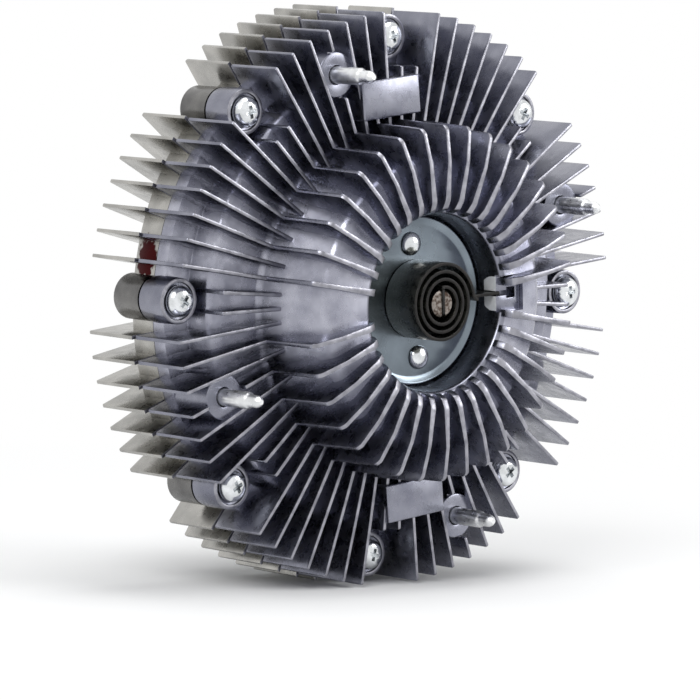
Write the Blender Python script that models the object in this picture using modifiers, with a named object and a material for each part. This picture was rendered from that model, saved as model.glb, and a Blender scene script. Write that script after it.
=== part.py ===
"""Viscous fan clutch: a finned two-part housing that spins on a flanged drive shaft.

Every piece is modelled about the local Z axis, with the joint face of the two castings at
z = 0 and the front at +Z. One empty then lays that axis along the world's Y, front towards
-Y, so that the world origin is the centre of the drive flange's rear face. Angles run
clockwise from the top, as seen from the front.
"""

import math

import bmesh
import bpy
from mathutils import Matrix

MM = 0.001
MERGE_DISTANCE = 0.00001
SMOOTH_ANGLE = 35
FLAT_ANGLE = 0.1

# Clearances
SEAT_GAP = 0.3 * MM
RUNNING_GAP = 0.6 * MM

# Facets round the turned pieces
CAST_SEGMENTS = 72
INNER_SEGMENTS = 30
BOWL_SEGMENTS = 36
BEARING_SEGMENTS = 24
BOSS_SEGMENTS = 12
SMALL_SEGMENTS = 8

# Joint flange of both castings, from which the rim's other sizes follow
FLANGE_RADIUS = 93.2 * MM
SHOULDER_STEP = 12.2 * MM
SHOULDER_RADIUS = FLANGE_RADIUS - SHOULDER_STEP
CHAMBER_WALL = 4.5 * MM
CHAMBER_RADIUS = SHOULDER_RADIUS - CHAMBER_WALL

# Outer fins, the same pitch on both castings
FIN_COUNT = 72
FIN_PITCH = 360 / FIN_COUNT
FIN_FRONT_Z = 24.0 * MM
FIN_REAR_Z = -24.0 * MM
FRONT_FIN_OVERHANG = 8.3 * MM
FRONT_FIN_TIP_RADIUS = FLANGE_RADIUS + FRONT_FIN_OVERHANG
REAR_FIN_OVERHANG = 9.3 * MM
REAR_FIN_TIP_RADIUS = FLANGE_RADIUS + REAR_FIN_OVERHANG
FIN_TIP_THICKNESS = 1.2 * MM
FIN_ROOT_TAPER = 0.006
FIN_DRAFT = 0.008
FIN_CORNER_RADIUS = 1.5 * MM
SHORT_FIN_SETBACK = 11.2 * MM
SHORT_FIN_END_RADIUS = FLANGE_RADIUS - SHORT_FIN_SETBACK
STUD_NOTCH_MARGIN = 0.5 * MM

# Tall fins round the drum, in line with every second outer fin
DRUM_FIN_RADIUS = 63.3 * MM
DRUM_FIN_FRONT_RADIUS = 60.0 * MM
DRUM_FIN_SHOULDER_Z = 45.0 * MM
DRUM_FIN_FRONT_Z = 49.0 * MM
DRUM_FIN_INNER_Z = 48.0 * MM
DRUM_FIN_INNER_RADIUS = 33.3 * MM
DRUM_FIN_CREST_RADIUS = 50.0 * MM
DRUM_FIN_ROOT_TAPER = 0.05

# Front cover body
COVER_FLANGE_THICKNESS = 5.6 * MM
SHOULDER_Z = 15.0 * MM
WALL_DRAFT = 1.5 * MM
DRUM_BASE_RADIUS = 58.5 * MM
DRUM_TOP_RADIUS = 54.0 * MM
DRUM_TOP_Z = 34.0 * MM
BOWL_RIM_RADIUS = 35.5 * MM
BOWL_EDGE_RADIUS = 33.0 * MM
BOWL_RIM_Z = 43.0 * MM
BOWL_WALL_RADIUS = 31.0 * MM
BOWL_WALL_Z = 35.0 * MM
PLATE_SEAT_Z = 29.0 * MM

# Space inside the housing
COVER_FACE_Z = 4.0 * MM
RESERVOIR_RADIUS = 49.0 * MM
RESERVOIR_PLATE_LAP = 2.5 * MM
RESERVOIR_PLATE_RADIUS = RESERVOIR_RADIUS + RESERVOIR_PLATE_LAP
RESERVOIR_ROOF_Z = 22.0 * MM
RESERVOIR_POCKET_Z = 33.0 * MM
RESERVOIR_WALL = 4.5 * MM
BUSH_BOSS_RADIUS = 9.0 * MM
BUSH_BOSS_Z = 10.0 * MM

# Labyrinth rings between the cover and the rotor
LAND_PITCH = 8.0 * MM
LAND_WIDTH = 3.2 * MM
FIRST_LAND_SETBACK = 3.5 * MM
FIRST_LAND_RADIUS = RESERVOIR_PLATE_RADIUS + FIRST_LAND_SETBACK
LAND_COUNT = int((CHAMBER_RADIUS - FIRST_LAND_RADIUS) / LAND_PITCH)
COVER_LAND_TIP_Z = 0.4 * MM

# Cover screws
SCREW_COUNT = 8
SCREW_EDGE_DISTANCE = 1.5 * MM
SCREW_CIRCLE_RADIUS = FLANGE_RADIUS - SCREW_EDGE_DISTANCE
SCREW_RADIUS = 3.0 * MM
SCREW_HEAD_RADIUS = 5.4 * MM
SCREW_HEAD_HEIGHT = 3.8 * MM
SCREW_HEAD_ROUND = 1.5 * MM
SCREW_REACH = 10.5 * MM
SCREW_BOSS_RADIUS = 8.0 * MM
SCREW_SEAT_Z = 11.0 * MM
SCREW_RIM_HEIGHT = 1.0 * MM
SCREW_RIM_INNER_RADIUS = 6.5 * MM
REAR_BOSS_Z = -14.0 * MM

# Fan studs
STUD_COUNT = 4
STUD_FIRST_ANGLE = -22.5
STUD_EDGE_DISTANCE = 8.4 * MM
STUD_CIRCLE_RADIUS = FLANGE_RADIUS - STUD_EDGE_DISTANCE
STUD_RADIUS = 3.0 * MM
STUD_NOSE_RADIUS = 2.2 * MM
STUD_BOSS_RADIUS = 8.0 * MM
STUD_BOSS_Z = 22.0 * MM
STUD_DEPTH = 12.0 * MM
STUD_SHANK_END_Z = 35.5 * MM
STUD_NOSE_END_Z = 39.8 * MM
STUD_TIP_Z = 41.5 * MM

# Cast pads at the top and the bottom of the cover, left bare
PAD_ANGLES = (-7.5, 172.5)
PAD_LENGTH = 13.6 * MM
PAD_OUTER_RADIUS = SHOULDER_RADIUS - 2.8 * MM
PAD_INNER_RADIUS = PAD_OUTER_RADIUS - PAD_LENGTH
PAD_WIDTH = 27.0 * MM
PAD_TOP_Z = 25.6 * MM

# Two places round the drum without a tall fin, behind the post and across from it
BARE_ANGLES = (87.5, 267.5)

# Slotted post that holds the outer end of the coil
POST_ANGLE = 85.3
POST_INNER_RADIUS = 30.8 * MM
POST_OUTER_RADIUS = 41.3 * MM
POST_WIDTH = 12.4 * MM
POST_TOP_Z = 40.5 * MM
POST_FOOT_Z = 34.5 * MM
POST_RECESS_SIDE = 3.8 * MM
POST_RECESS_RADIUS = 37.4 * MM
POST_RECESS_DEPTH = 4.0 * MM

# Rear housing
REAR_FLANGE_Z = -11.3 * MM
REAR_WALL_Z = -12.2 * MM
REAR_FACE_Z = -7.1 * MM
HUB_RADIUS = 34.0 * MM
HUB_END_Z = -37.0 * MM
HUB_CHAMFER = 2.0 * MM
REAR_RIB_RADIUS = 38.0 * MM
REAR_RIB_Z = -19.0 * MM
REAR_RIB_CREST_RADIUS = 58.0 * MM
HUB_LIP_RADIUS = 23.2 * MM

# Sealing ring in the joint face
SEAL_SETBACK = 2.1 * MM
SEAL_INNER_RADIUS = CHAMBER_RADIUS + SEAL_SETBACK
SEAL_WIDTH = 2.4 * MM
SEAL_HEIGHT = 1.9 * MM

# Rotor
ROTOR_GAP_RADIUS = 1.5 * MM
ROTOR_WEB_FRONT_Z = -0.3 * MM
ROTOR_REAR_Z = REAR_FACE_Z + RUNNING_GAP
ROTOR_HUB_RADIUS = 16.0 * MM

# Reservoir plate
RESERVOIR_PLATE_THICKNESS = 1.2 * MM
FILL_HOLE_RADIUS = 3.5 * MM
FILL_HOLE_EDGE_DISTANCE = 9.0 * MM
FILL_HOLE_PLACE = RESERVOIR_RADIUS - FILL_HOLE_EDGE_DISTANCE
ARM_ANGLE = 120.0

# Valve shaft, arm and ring
VALVE_SHAFT_RADIUS = 4.8 * MM
VALVE_SHAFT_FRONT_Z = 45.9 * MM
VALVE_SPIGOT_RADIUS = 3.0 * MM
ARM_THICKNESS = 1.5 * MM
ARM_WIDTH = 12.0 * MM
ARM_END_CLEARANCE = 4.5 * MM
ARM_REACH = RESERVOIR_RADIUS - ARM_END_CLEARANCE
RING_GROOVE_DEPTH = 1.6 * MM
RING_GROOVE_WIDTH = 2.0 * MM
RING_WIRE_RADIUS = 0.65 * MM
RING_Z = 18.0 * MM

# Coil
COIL_TURNS = 3.25
COIL_RADIUS = 14.6 * MM
COIL_INNER_RADIUS = 5.8 * MM
COIL_STRIP = 1.1 * MM
COIL_REAR_Z = 31.2 * MM
COIL_FRONT_Z = 46.2 * MM
COIL_TAIL_RADIUS = 33.0 * MM
COIL_STEPS_PER_TURN = 18

# Plate and rivets behind the coil
CENTRE_PLATE_RADIUS = 29.3 * MM
CENTRE_PLATE_THICKNESS = 1.5 * MM
CENTRE_PLATE_BORE = 5.6 * MM
RIVET_CIRCLE_RADIUS = 20.2 * MM
RIVET_ANGLES = (-8.0, 172.0)
RIVET_HEAD_RADIUS = 4.2 * MM
RIVET_HEAD_HEIGHT = 2.4 * MM
RIVET_RADIUS = 2.0 * MM
RIVET_DEPTH = 3.2 * MM

# Ball bearing, 25 x 52 x 15
BEARING_BORE_RADIUS = 12.5 * MM
BEARING_OUTER_RADIUS = 26.0 * MM
BEARING_WIDTH = 15.0 * MM
BEARING_CENTRE_Z = -24.4 * MM
BALL_COUNT = 9
BALL_RADIUS = 3.95 * MM
BALL_CIRCLE_RADIUS = 19.25 * MM
BALL_GAP = 0.45 * MM
RACE_SHOULDER = 2.65 * MM
CAGE_HALF_WIDTH = 5.6 * MM
CAGE_HALF_THICKNESS = 1.5 * MM
SHIELD_THICKNESS = 0.8 * MM

# Drive shaft
FLANGE_END_Z = -48.0 * MM
DRIVE_FLANGE_RADIUS = 38.0 * MM
DRIVE_FLANGE_THICKNESS = 6.5 * MM
DRIVE_NECK_RADIUS = 15.5 * MM
DRIVE_FILLET = 4.0 * MM
DRIVE_HOLE_COUNT = 4
DRIVE_HOLE_CIRCLE_RADIUS = 28.5 * MM
DRIVE_HOLE_RADIUS = 4.2 * MM
ROTOR_SEAT_RADIUS = 10.0 * MM
STAKED_HEAD_RADIUS = 11.6 * MM
STAKED_HEAD_HEIGHT = 1.2 * MM
EDGE_CHAMFER = 0.8 * MM

# Colours: linear red, green, blue, then roughness and metallic
FINISHES = {
    "cast_aluminium": ((0.42, 0.43, 0.47), 0.35, 1.0),
    "zinc_plate": ((0.55, 0.60, 0.62), 0.28, 1.0),
    "bright_zinc": ((0.80, 0.82, 0.84), 0.18, 1.0),
    "black_strip": ((0.03, 0.03, 0.025), 0.45, 0.6),
    "turned_steel": ((0.50, 0.47, 0.43), 0.30, 1.0),
    "bearing_steel": ((0.60, 0.61, 0.62), 0.15, 1.0),
    "brass": ((0.62, 0.46, 0.20), 0.35, 1.0),
    "rubber": ((0.02, 0.02, 0.02), 0.80, 0.0),
}


def clear_scene():
    """Remove every object that the file opens with."""
    for obj in list(bpy.data.objects):
        bpy.data.objects.remove(obj, do_unlink=True)


def new_collection(name):
    """Collection linked to the scene."""
    collection = bpy.data.collections.new(name)
    bpy.context.scene.collection.children.link(collection)
    return collection


def new_material(name, finish):
    """Principled material of a piece, from its finish."""
    colour, roughness, metallic = FINISHES[finish]
    material = bpy.data.materials.new(name)
    material.use_nodes = True
    shader = material.node_tree.nodes["Principled BSDF"]
    shader.inputs["Base Color"].default_value = (*colour, 1.0)
    shader.inputs["Roughness"].default_value = roughness
    shader.inputs["Metallic"].default_value = metallic
    return material


clear_scene()
PARTS = new_collection("viscous_fan_clutch")
CUTTERS = new_collection("guides_and_cutters")

AXIS = bpy.data.objects.new("clutch_axis", None)
PARTS.objects.link(AXIS)
AXIS.rotation_euler = (math.pi / 2, 0, 0)
AXIS.location = (0, FLANGE_END_Z, 0)


def spot(radius, angle, z=0.0):
    """Point at a radius and a clock angle in degrees."""
    turn = math.radians(angle)
    return (radius * math.sin(turn), radius * math.cos(turn), z)


def clock(angle):
    """Rotation about Z that carries +X to a clock angle."""
    return Matrix.Rotation(math.radians(90 - angle), 4, "Z")


def place(obj, finish=None):
    """Hang a piece, or a guide when it has no finish, on the clutch axis."""
    obj.parent = AXIS
    if finish is None:
        CUTTERS.objects.link(obj)
        obj.hide_render = True
        obj.display_type = "WIRE"
    else:
        PARTS.objects.link(obj)
        obj.data.materials.append(new_material(obj.name, finish))
    return obj


def turned(name, profile, segments, finish=None):
    """Piece turned about Z from (radius, z) points that run down its outer side."""
    mesh = bpy.data.meshes.new(name)
    edges = [(i, i + 1) for i in range(len(profile) - 1)]
    if profile[0][0] > 0:
        edges.append((len(profile) - 1, 0))
    mesh.from_pydata([(radius, 0, z) for radius, z in profile], edges, [])
    obj = bpy.data.objects.new(name, mesh)
    turn = obj.modifiers.new("turn", "SCREW")
    turn.axis = "Z"
    turn.angle = math.tau
    turn.steps = segments
    turn.render_steps = segments
    turn.use_merge_vertices = True
    turn.merge_threshold = MERGE_DISTANCE
    turn.use_smooth_shade = False
    return place(obj, finish)


def combine(target, tool, operation):
    """Exact Boolean of a guide object into a piece."""
    step = target.modifiers.new(f"{operation.lower()} {tool.name}", "BOOLEAN")
    step.operation = operation
    step.solver = "EXACT"
    step.object = tool


def outline_mesh(name, outline, thickness):
    """Flat plate with its outline in the XZ plane, centred on it in Y."""
    curve = bpy.data.curves.new(name, "CURVE")
    curve.dimensions = "2D"
    curve.fill_mode = "BOTH"
    curve.extrude = thickness / 2
    spline = curve.splines.new("POLY")
    spline.points.add(len(outline) - 1)
    for point, (x, z) in zip(spline.points, outline):
        point.co = (x, z, 0, 1)
    spline.use_cyclic_u = True
    guide = bpy.data.objects.new(name, curve)
    CUTTERS.objects.link(guide)
    depsgraph = bpy.context.evaluated_depsgraph_get()
    mesh = bpy.data.meshes.new_from_object(guide.evaluated_get(depsgraph))
    bpy.data.objects.remove(guide, do_unlink=True)
    plate = bmesh.new()
    plate.from_mesh(mesh)
    bmesh.ops.remove_doubles(plate, verts=plate.verts, dist=MERGE_DISTANCE)
    bmesh.ops.dissolve_limit(plate, angle_limit=math.radians(1), verts=plate.verts, edges=plate.edges)
    bmesh.ops.rotate(plate, verts=plate.verts, matrix=Matrix.Rotation(math.pi / 2, 4, "X"))
    bmesh.ops.recalc_face_normals(plate, faces=plate.faces)
    plate.to_mesh(mesh)
    plate.free()
    return mesh


def tapered_plate(name, outline, thickness_at, folds=()):
    """Plate whose thickness follows a rule of radius and z, linear between the folds."""
    mesh = outline_mesh(name, outline, 2 * MM)
    plate = bmesh.new()
    plate.from_mesh(mesh)
    for fold in folds:
        bmesh.ops.bisect_plane(
            plate, geom=plate.verts[:] + plate.edges[:] + plate.faces[:],
            plane_co=(fold, 0, 0), plane_no=(1, 0, 0), dist=MERGE_DISTANCE)
    for vert in plate.verts:
        side = math.copysign(0.5, vert.co.y)
        vert.co.y = side * thickness_at(vert.co.x, vert.co.z)
    plate.to_mesh(mesh)
    plate.free()
    return mesh


def fanned(name, placed_meshes):
    """One guide object that holds copies of meshes, each swung to its clock angle."""
    merged = bmesh.new()
    for mesh, angle in placed_meshes:
        first = len(merged.verts)
        merged.from_mesh(mesh)
        merged.verts.ensure_lookup_table()
        bmesh.ops.rotate(merged, verts=merged.verts[first:], matrix=clock(angle))
    data = bpy.data.meshes.new(name)
    merged.to_mesh(data)
    merged.free()
    return place(bpy.data.objects.new(name, data))


def pins(name, spots, radius, top, bottom, segments):
    """One guide object of equal upright cylinders at the given spots."""
    merged = bmesh.new()
    for x, y, z in spots:
        bmesh.ops.create_cone(
            merged, cap_ends=True, segments=segments, radius1=radius, radius2=radius,
            depth=top - bottom, matrix=Matrix.Translation((x, y, z + (top + bottom) / 2)))
    data = bpy.data.meshes.new(name)
    merged.to_mesh(data)
    merged.free()
    return place(bpy.data.objects.new(name, data))


def block(name, angle, inner, outer, width, low, high):
    """Guide box that lies along a radius: two radii, its width and two heights."""
    box = bmesh.new()
    bmesh.ops.create_cube(box, size=1.0)
    bmesh.ops.scale(box, verts=box.verts, vec=(outer - inner, width, high - low))
    bmesh.ops.translate(box, verts=box.verts, vec=((inner + outer) / 2, 0, (low + high) / 2))
    bmesh.ops.rotate(box, verts=box.verts, matrix=clock(angle))
    data = bpy.data.meshes.new(name)
    box.to_mesh(data)
    box.free()
    return place(bpy.data.objects.new(name, data))


def arc_points(centre, radius, start, end, steps):
    """Points on an arc in the profile plane, angles in degrees from +X."""
    points = []
    for i in range(steps + 1):
        turn = math.radians(start + (end - start) * i / steps)
        points.append((centre[0] + radius * math.cos(turn), centre[1] + radius * math.sin(turn)))
    return points


def screw_angles():
    """Clock angles of the cover screws, the first at the top."""
    return [i * 360 / SCREW_COUNT for i in range(SCREW_COUNT)]


def stud_angles():
    """Clock angles of the fan studs, each halfway between two screws."""
    return [STUD_FIRST_ANGLE + i * 360 / STUD_COUNT for i in range(STUD_COUNT)]


def fin_angles():
    """Clock angles of the outer fins: half a pitch off the top screw."""
    return [(i + 0.5) * FIN_PITCH for i in range(FIN_COUNT)]


def beside_screw(angle):
    """True for the two fins next to each screw, which stop short of its boss."""
    sector = 360 / SCREW_COUNT
    offset = angle % sector
    return min(offset, sector - offset) < FIN_PITCH


def front_fin_thickness(radius, z):
    """Fins thicken towards the hub and, by the mould's draft, towards their base."""
    taper = (FRONT_FIN_TIP_RADIUS - radius) * FIN_ROOT_TAPER + (FIN_FRONT_Z - z) * FIN_DRAFT
    inner = max(0.0, DRUM_FIN_CREST_RADIUS - radius) * DRUM_FIN_ROOT_TAPER
    return FIN_TIP_THICKNESS + taper + inner


def rear_fin_thickness(radius, z):
    """Rear fins have the same taper, and draft towards the joint face."""
    taper = (REAR_FIN_TIP_RADIUS - radius) * FIN_ROOT_TAPER
    return FIN_TIP_THICKNESS + taper + (z - FIN_REAR_Z) * FIN_DRAFT


def front_fin_outline(tall, short, notched):
    """Outline of a cover fin in (radius, z), with its foot sunk in the casting."""
    foot = COVER_FLANGE_THICKNESS / 2
    if tall:
        points = [
            (DRUM_FIN_INNER_RADIUS, BOWL_RIM_Z - 3 * MM),
            (DRUM_FIN_INNER_RADIUS, DRUM_FIN_INNER_Z),
            (DRUM_FIN_CREST_RADIUS, DRUM_FIN_FRONT_Z),
            (DRUM_FIN_FRONT_RADIUS, DRUM_FIN_INNER_Z - 0.6 * MM),
            (DRUM_FIN_RADIUS - 1 * MM, DRUM_FIN_SHOULDER_Z),
            (DRUM_FIN_RADIUS, FIN_FRONT_Z),
        ]
    else:
        points = [(DRUM_TOP_RADIUS, FIN_FRONT_Z - 2 * MM), (DRUM_TOP_RADIUS, FIN_FRONT_Z)]
    if notched:
        low = STUD_BOSS_Z - 1 * MM
        half = STUD_BOSS_RADIUS + STUD_NOTCH_MARGIN
        points += [
            (STUD_CIRCLE_RADIUS - half, FIN_FRONT_Z), (STUD_CIRCLE_RADIUS - half, low),
            (STUD_CIRCLE_RADIUS + half, low), (STUD_CIRCLE_RADIUS + half, FIN_FRONT_Z)]
    if short:
        points += [(SHORT_FIN_END_RADIUS, FIN_FRONT_Z), (SHORT_FIN_END_RADIUS, foot)]
    else:
        corner = (FRONT_FIN_TIP_RADIUS - FIN_CORNER_RADIUS, FIN_FRONT_Z - FIN_CORNER_RADIUS)
        points += arc_points(corner, FIN_CORNER_RADIUS, 90, 0, 2)
        points += [(FRONT_FIN_TIP_RADIUS, SEAT_GAP), (FLANGE_RADIUS - 2 * MM, SEAT_GAP)]
        points += [(FLANGE_RADIUS - 2 * MM, foot)]
    points += [(DRUM_BASE_RADIUS - 2 * MM, foot + COVER_FACE_Z)]
    return points


def rear_fin_outline(short, inner_radius):
    """Outline of a rear housing fin in (radius, z), with its foot sunk in the casting."""
    foot = (REAR_WALL_Z + REAR_FACE_Z) / 2
    crest = max(REAR_RIB_CREST_RADIUS, inner_radius + 2 * MM)
    points = [(inner_radius, foot), (inner_radius, REAR_RIB_Z), (crest, FIN_REAR_Z)]
    if short:
        return points + [(SHORT_FIN_END_RADIUS, FIN_REAR_Z), (SHORT_FIN_END_RADIUS, foot)]
    return points + [
        (REAR_FIN_TIP_RADIUS, FIN_REAR_Z), (REAR_FIN_TIP_RADIUS, -2 * SEAT_GAP),
        (FLANGE_RADIUS - 2 * MM, -2 * SEAT_GAP), (FLANGE_RADIUS - 2 * MM, foot)]


def front_fins():
    """All the cover's fins: each second one steps up to a tall fin on the drum."""
    studs = {angle % 360 for angle in stud_angles()}
    meshes = {}
    placed = []
    for i, angle in enumerate(fin_angles()):
        tall = i % 2 == 1 and angle not in BARE_ANGLES
        kind = (tall, beside_screw(angle), angle in studs)
        if kind not in meshes:
            folds = (DRUM_FIN_CREST_RADIUS,) if tall else ()
            meshes[kind] = tapered_plate(
                "front_fin", front_fin_outline(*kind), front_fin_thickness, folds)
        placed.append((meshes[kind], angle))
    return fanned("front_fins", placed)


def rear_fins():
    """All the rear housing's fins: each second one runs in to the hub."""
    meshes = {}
    placed = []
    for i, angle in enumerate(fin_angles()):
        inner = REAR_RIB_RADIUS if i % 2 == 1 else REAR_RIB_CREST_RADIUS
        kind = (beside_screw(angle), inner)
        if kind not in meshes:
            meshes[kind] = tapered_plate("rear_fin", rear_fin_outline(*kind), rear_fin_thickness)
        placed.append((meshes[kind], angle))
    return fanned("rear_fins", placed)


def land_radii():
    """Inner radii of the rotor's lands, the last one at its rim."""
    return [FIRST_LAND_RADIUS + i * LAND_PITCH for i in range(LAND_COUNT + 1)]


def cover_groove_profile():
    """Cover's working face from the reservoir out to the chamber wall, with its lands."""
    points = []
    for radius in land_radii()[:-1]:
        start = radius + LAND_WIDTH + RUNNING_GAP
        end = radius + LAND_PITCH - RUNNING_GAP
        points += [
            (start, COVER_FACE_Z), (start, COVER_LAND_TIP_Z),
            (end, COVER_LAND_TIP_Z), (end, COVER_FACE_Z)]
    return points


def cover_inside():
    """Guide for the space in the cover: shaft bore, oil reservoir and working chamber."""
    bore = VALVE_SHAFT_RADIUS + SEAT_GAP
    plate_recess = RESERVOIR_PLATE_RADIUS + 1.5 * SEAT_GAP
    plate_seat = COVER_FACE_Z + RESERVOIR_PLATE_THICKNESS + SEAT_GAP
    profile = [
        (0, BOWL_RIM_Z), (bore, BOWL_RIM_Z), (bore, BUSH_BOSS_Z),
        (BUSH_BOSS_RADIUS, BUSH_BOSS_Z), (BUSH_BOSS_RADIUS, RESERVOIR_ROOF_Z),
        (BOWL_WALL_RADIUS + RESERVOIR_WALL / 2, RESERVOIR_ROOF_Z),
        (BOWL_WALL_RADIUS + RESERVOIR_WALL, RESERVOIR_POCKET_Z - 2.5 * MM),
        (BOWL_RIM_RADIUS + 1 * MM, RESERVOIR_POCKET_Z),
        (RESERVOIR_RADIUS - 1 * MM, DRUM_TOP_Z - 1.4 * RESERVOIR_WALL),
        (RESERVOIR_RADIUS, plate_seat), (plate_recess, plate_seat), (plate_recess, COVER_FACE_Z),
        *cover_groove_profile(),
        (CHAMBER_RADIUS, COVER_FACE_Z), (CHAMBER_RADIUS, -5 * MM), (0, -5 * MM)]
    return turned("cover_inside", profile, INNER_SEGMENTS)


def screw_spots(z=0.0):
    """Places of the cover screws."""
    return [spot(SCREW_CIRCLE_RADIUS, angle, z) for angle in screw_angles()]


def stud_spots(z=0.0):
    """Places of the fan studs."""
    return [spot(STUD_CIRCLE_RADIUS, angle, z) for angle in stud_angles()]


def rivet_spots(z=0.0):
    """Places of the two rivets in the centre plate."""
    return [spot(RIVET_CIRCLE_RADIUS, angle, z) for angle in RIVET_ANGLES]


def post_slot_width():
    """Slot for the coil's tail, in the post and in the valve shaft."""
    return COIL_STRIP + 2 * SEAT_GAP


def coil_start_angle():
    """Clock angle at which the coil leaves the shaft's slot."""
    return POST_ANGLE - 360 * COIL_TURNS


def make_front_cover():
    """Front casting: drum, bowl, fins, bosses, pads and the coil's post."""
    cover = turned("front_cover", [
        (0, BOWL_RIM_Z), (BOWL_RIM_RADIUS, BOWL_RIM_Z), (DRUM_TOP_RADIUS, DRUM_TOP_Z),
        (DRUM_BASE_RADIUS, SHOULDER_Z), (SHOULDER_RADIUS, SHOULDER_Z),
        (SHOULDER_RADIUS + WALL_DRAFT, COVER_FLANGE_THICKNESS),
        (FLANGE_RADIUS, COVER_FLANGE_THICKNESS), (FLANGE_RADIUS, 0), (0, 0)],
        CAST_SEGMENTS, "cast_aluminium")
    cover.rotation_euler.z = math.radians(FIN_PITCH / 2)
    combine(cover, block(
        "post_flat", POST_ANGLE, 0, POST_OUTER_RADIUS - 1 * MM, POST_WIDTH + 2 * SEAT_GAP,
        POST_TOP_Z - SEAT_GAP, 2 * BOWL_RIM_Z), "DIFFERENCE")
    combine(cover, front_fins(), "UNION")
    boss_top = SCREW_SEAT_Z + SCREW_RIM_HEIGHT
    combine(cover, pins(
        "screw_bosses", screw_spots(), SCREW_BOSS_RADIUS,
        boss_top, SEAT_GAP / 2, BOSS_SEGMENTS), "UNION")
    combine(cover, pins(
        "stud_bosses", stud_spots(), STUD_BOSS_RADIUS,
        STUD_BOSS_Z, COVER_FLANGE_THICKNESS / 2, BOSS_SEGMENTS), "UNION")
    for i, angle in enumerate(PAD_ANGLES, 1):
        combine(cover, block(
            f"pad_{i}", angle, PAD_INNER_RADIUS, PAD_OUTER_RADIUS, PAD_WIDTH,
            SHOULDER_Z - 1 * MM, PAD_TOP_Z), "UNION")
    combine(cover, turned("bowl", [
        (0, 2 * BOWL_RIM_Z), (BOWL_EDGE_RADIUS, 2 * BOWL_RIM_Z),
        (BOWL_EDGE_RADIUS, BOWL_RIM_Z - 0.5 * MM), (BOWL_WALL_RADIUS, BOWL_WALL_Z),
        (CENTRE_PLATE_RADIUS + 2 * SEAT_GAP, PLATE_SEAT_Z), (0, PLATE_SEAT_Z)],
        BOWL_SEGMENTS), "DIFFERENCE")
    combine(cover, block(
        "post", POST_ANGLE, POST_INNER_RADIUS, POST_OUTER_RADIUS, POST_WIDTH,
        POST_FOOT_Z, POST_TOP_Z), "UNION")

    combine(cover, cover_inside(), "DIFFERENCE")
    combine(cover, pins(
        "cover_screw_holes", screw_spots(), SCREW_RADIUS + SEAT_GAP,
        SCREW_SEAT_Z + 2 * MM, -2 * MM, SMALL_SEGMENTS), "DIFFERENCE")
    combine(cover, pins(
        "screw_counterbores", screw_spots(), SCREW_RIM_INNER_RADIUS,
        boss_top + 2 * MM, SCREW_SEAT_Z, BOSS_SEGMENTS), "DIFFERENCE")
    combine(cover, pins(
        "stud_holes", stud_spots(), STUD_RADIUS + SEAT_GAP,
        STUD_BOSS_Z + 2 * MM, STUD_BOSS_Z - STUD_DEPTH - SEAT_GAP, SMALL_SEGMENTS), "DIFFERENCE")
    combine(cover, pins(
        "rivet_holes", rivet_spots(), RIVET_RADIUS + SEAT_GAP,
        PLATE_SEAT_Z + 2 * MM, PLATE_SEAT_Z - RIVET_DEPTH - SEAT_GAP, SMALL_SEGMENTS), "DIFFERENCE")
    slot_front = BOWL_RIM_Z + 2 * MM
    slot_step = (COIL_TAIL_RADIUS + 2 * SEAT_GAP, POST_TOP_Z - POST_RECESS_DEPTH)
    combine(cover, fanned("post_slot", [(outline_mesh("post_slot", [
        (POST_INNER_RADIUS - 2 * MM, slot_front), (POST_INNER_RADIUS - 2 * MM, COIL_REAR_Z - SEAT_GAP),
        (slot_step[0], COIL_REAR_Z - SEAT_GAP), slot_step, (POST_RECESS_RADIUS, slot_step[1]),
        (POST_RECESS_RADIUS, slot_front)], post_slot_width()), POST_ANGLE)]), "DIFFERENCE")
    combine(cover, block(
        "post_recess", POST_ANGLE, POST_RECESS_RADIUS - POST_RECESS_SIDE / 2,
        POST_RECESS_RADIUS + POST_RECESS_SIDE / 2, POST_RECESS_SIDE,
        POST_TOP_Z - POST_RECESS_DEPTH, BOWL_RIM_Z + 2 * MM), "DIFFERENCE")
    return cover


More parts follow.
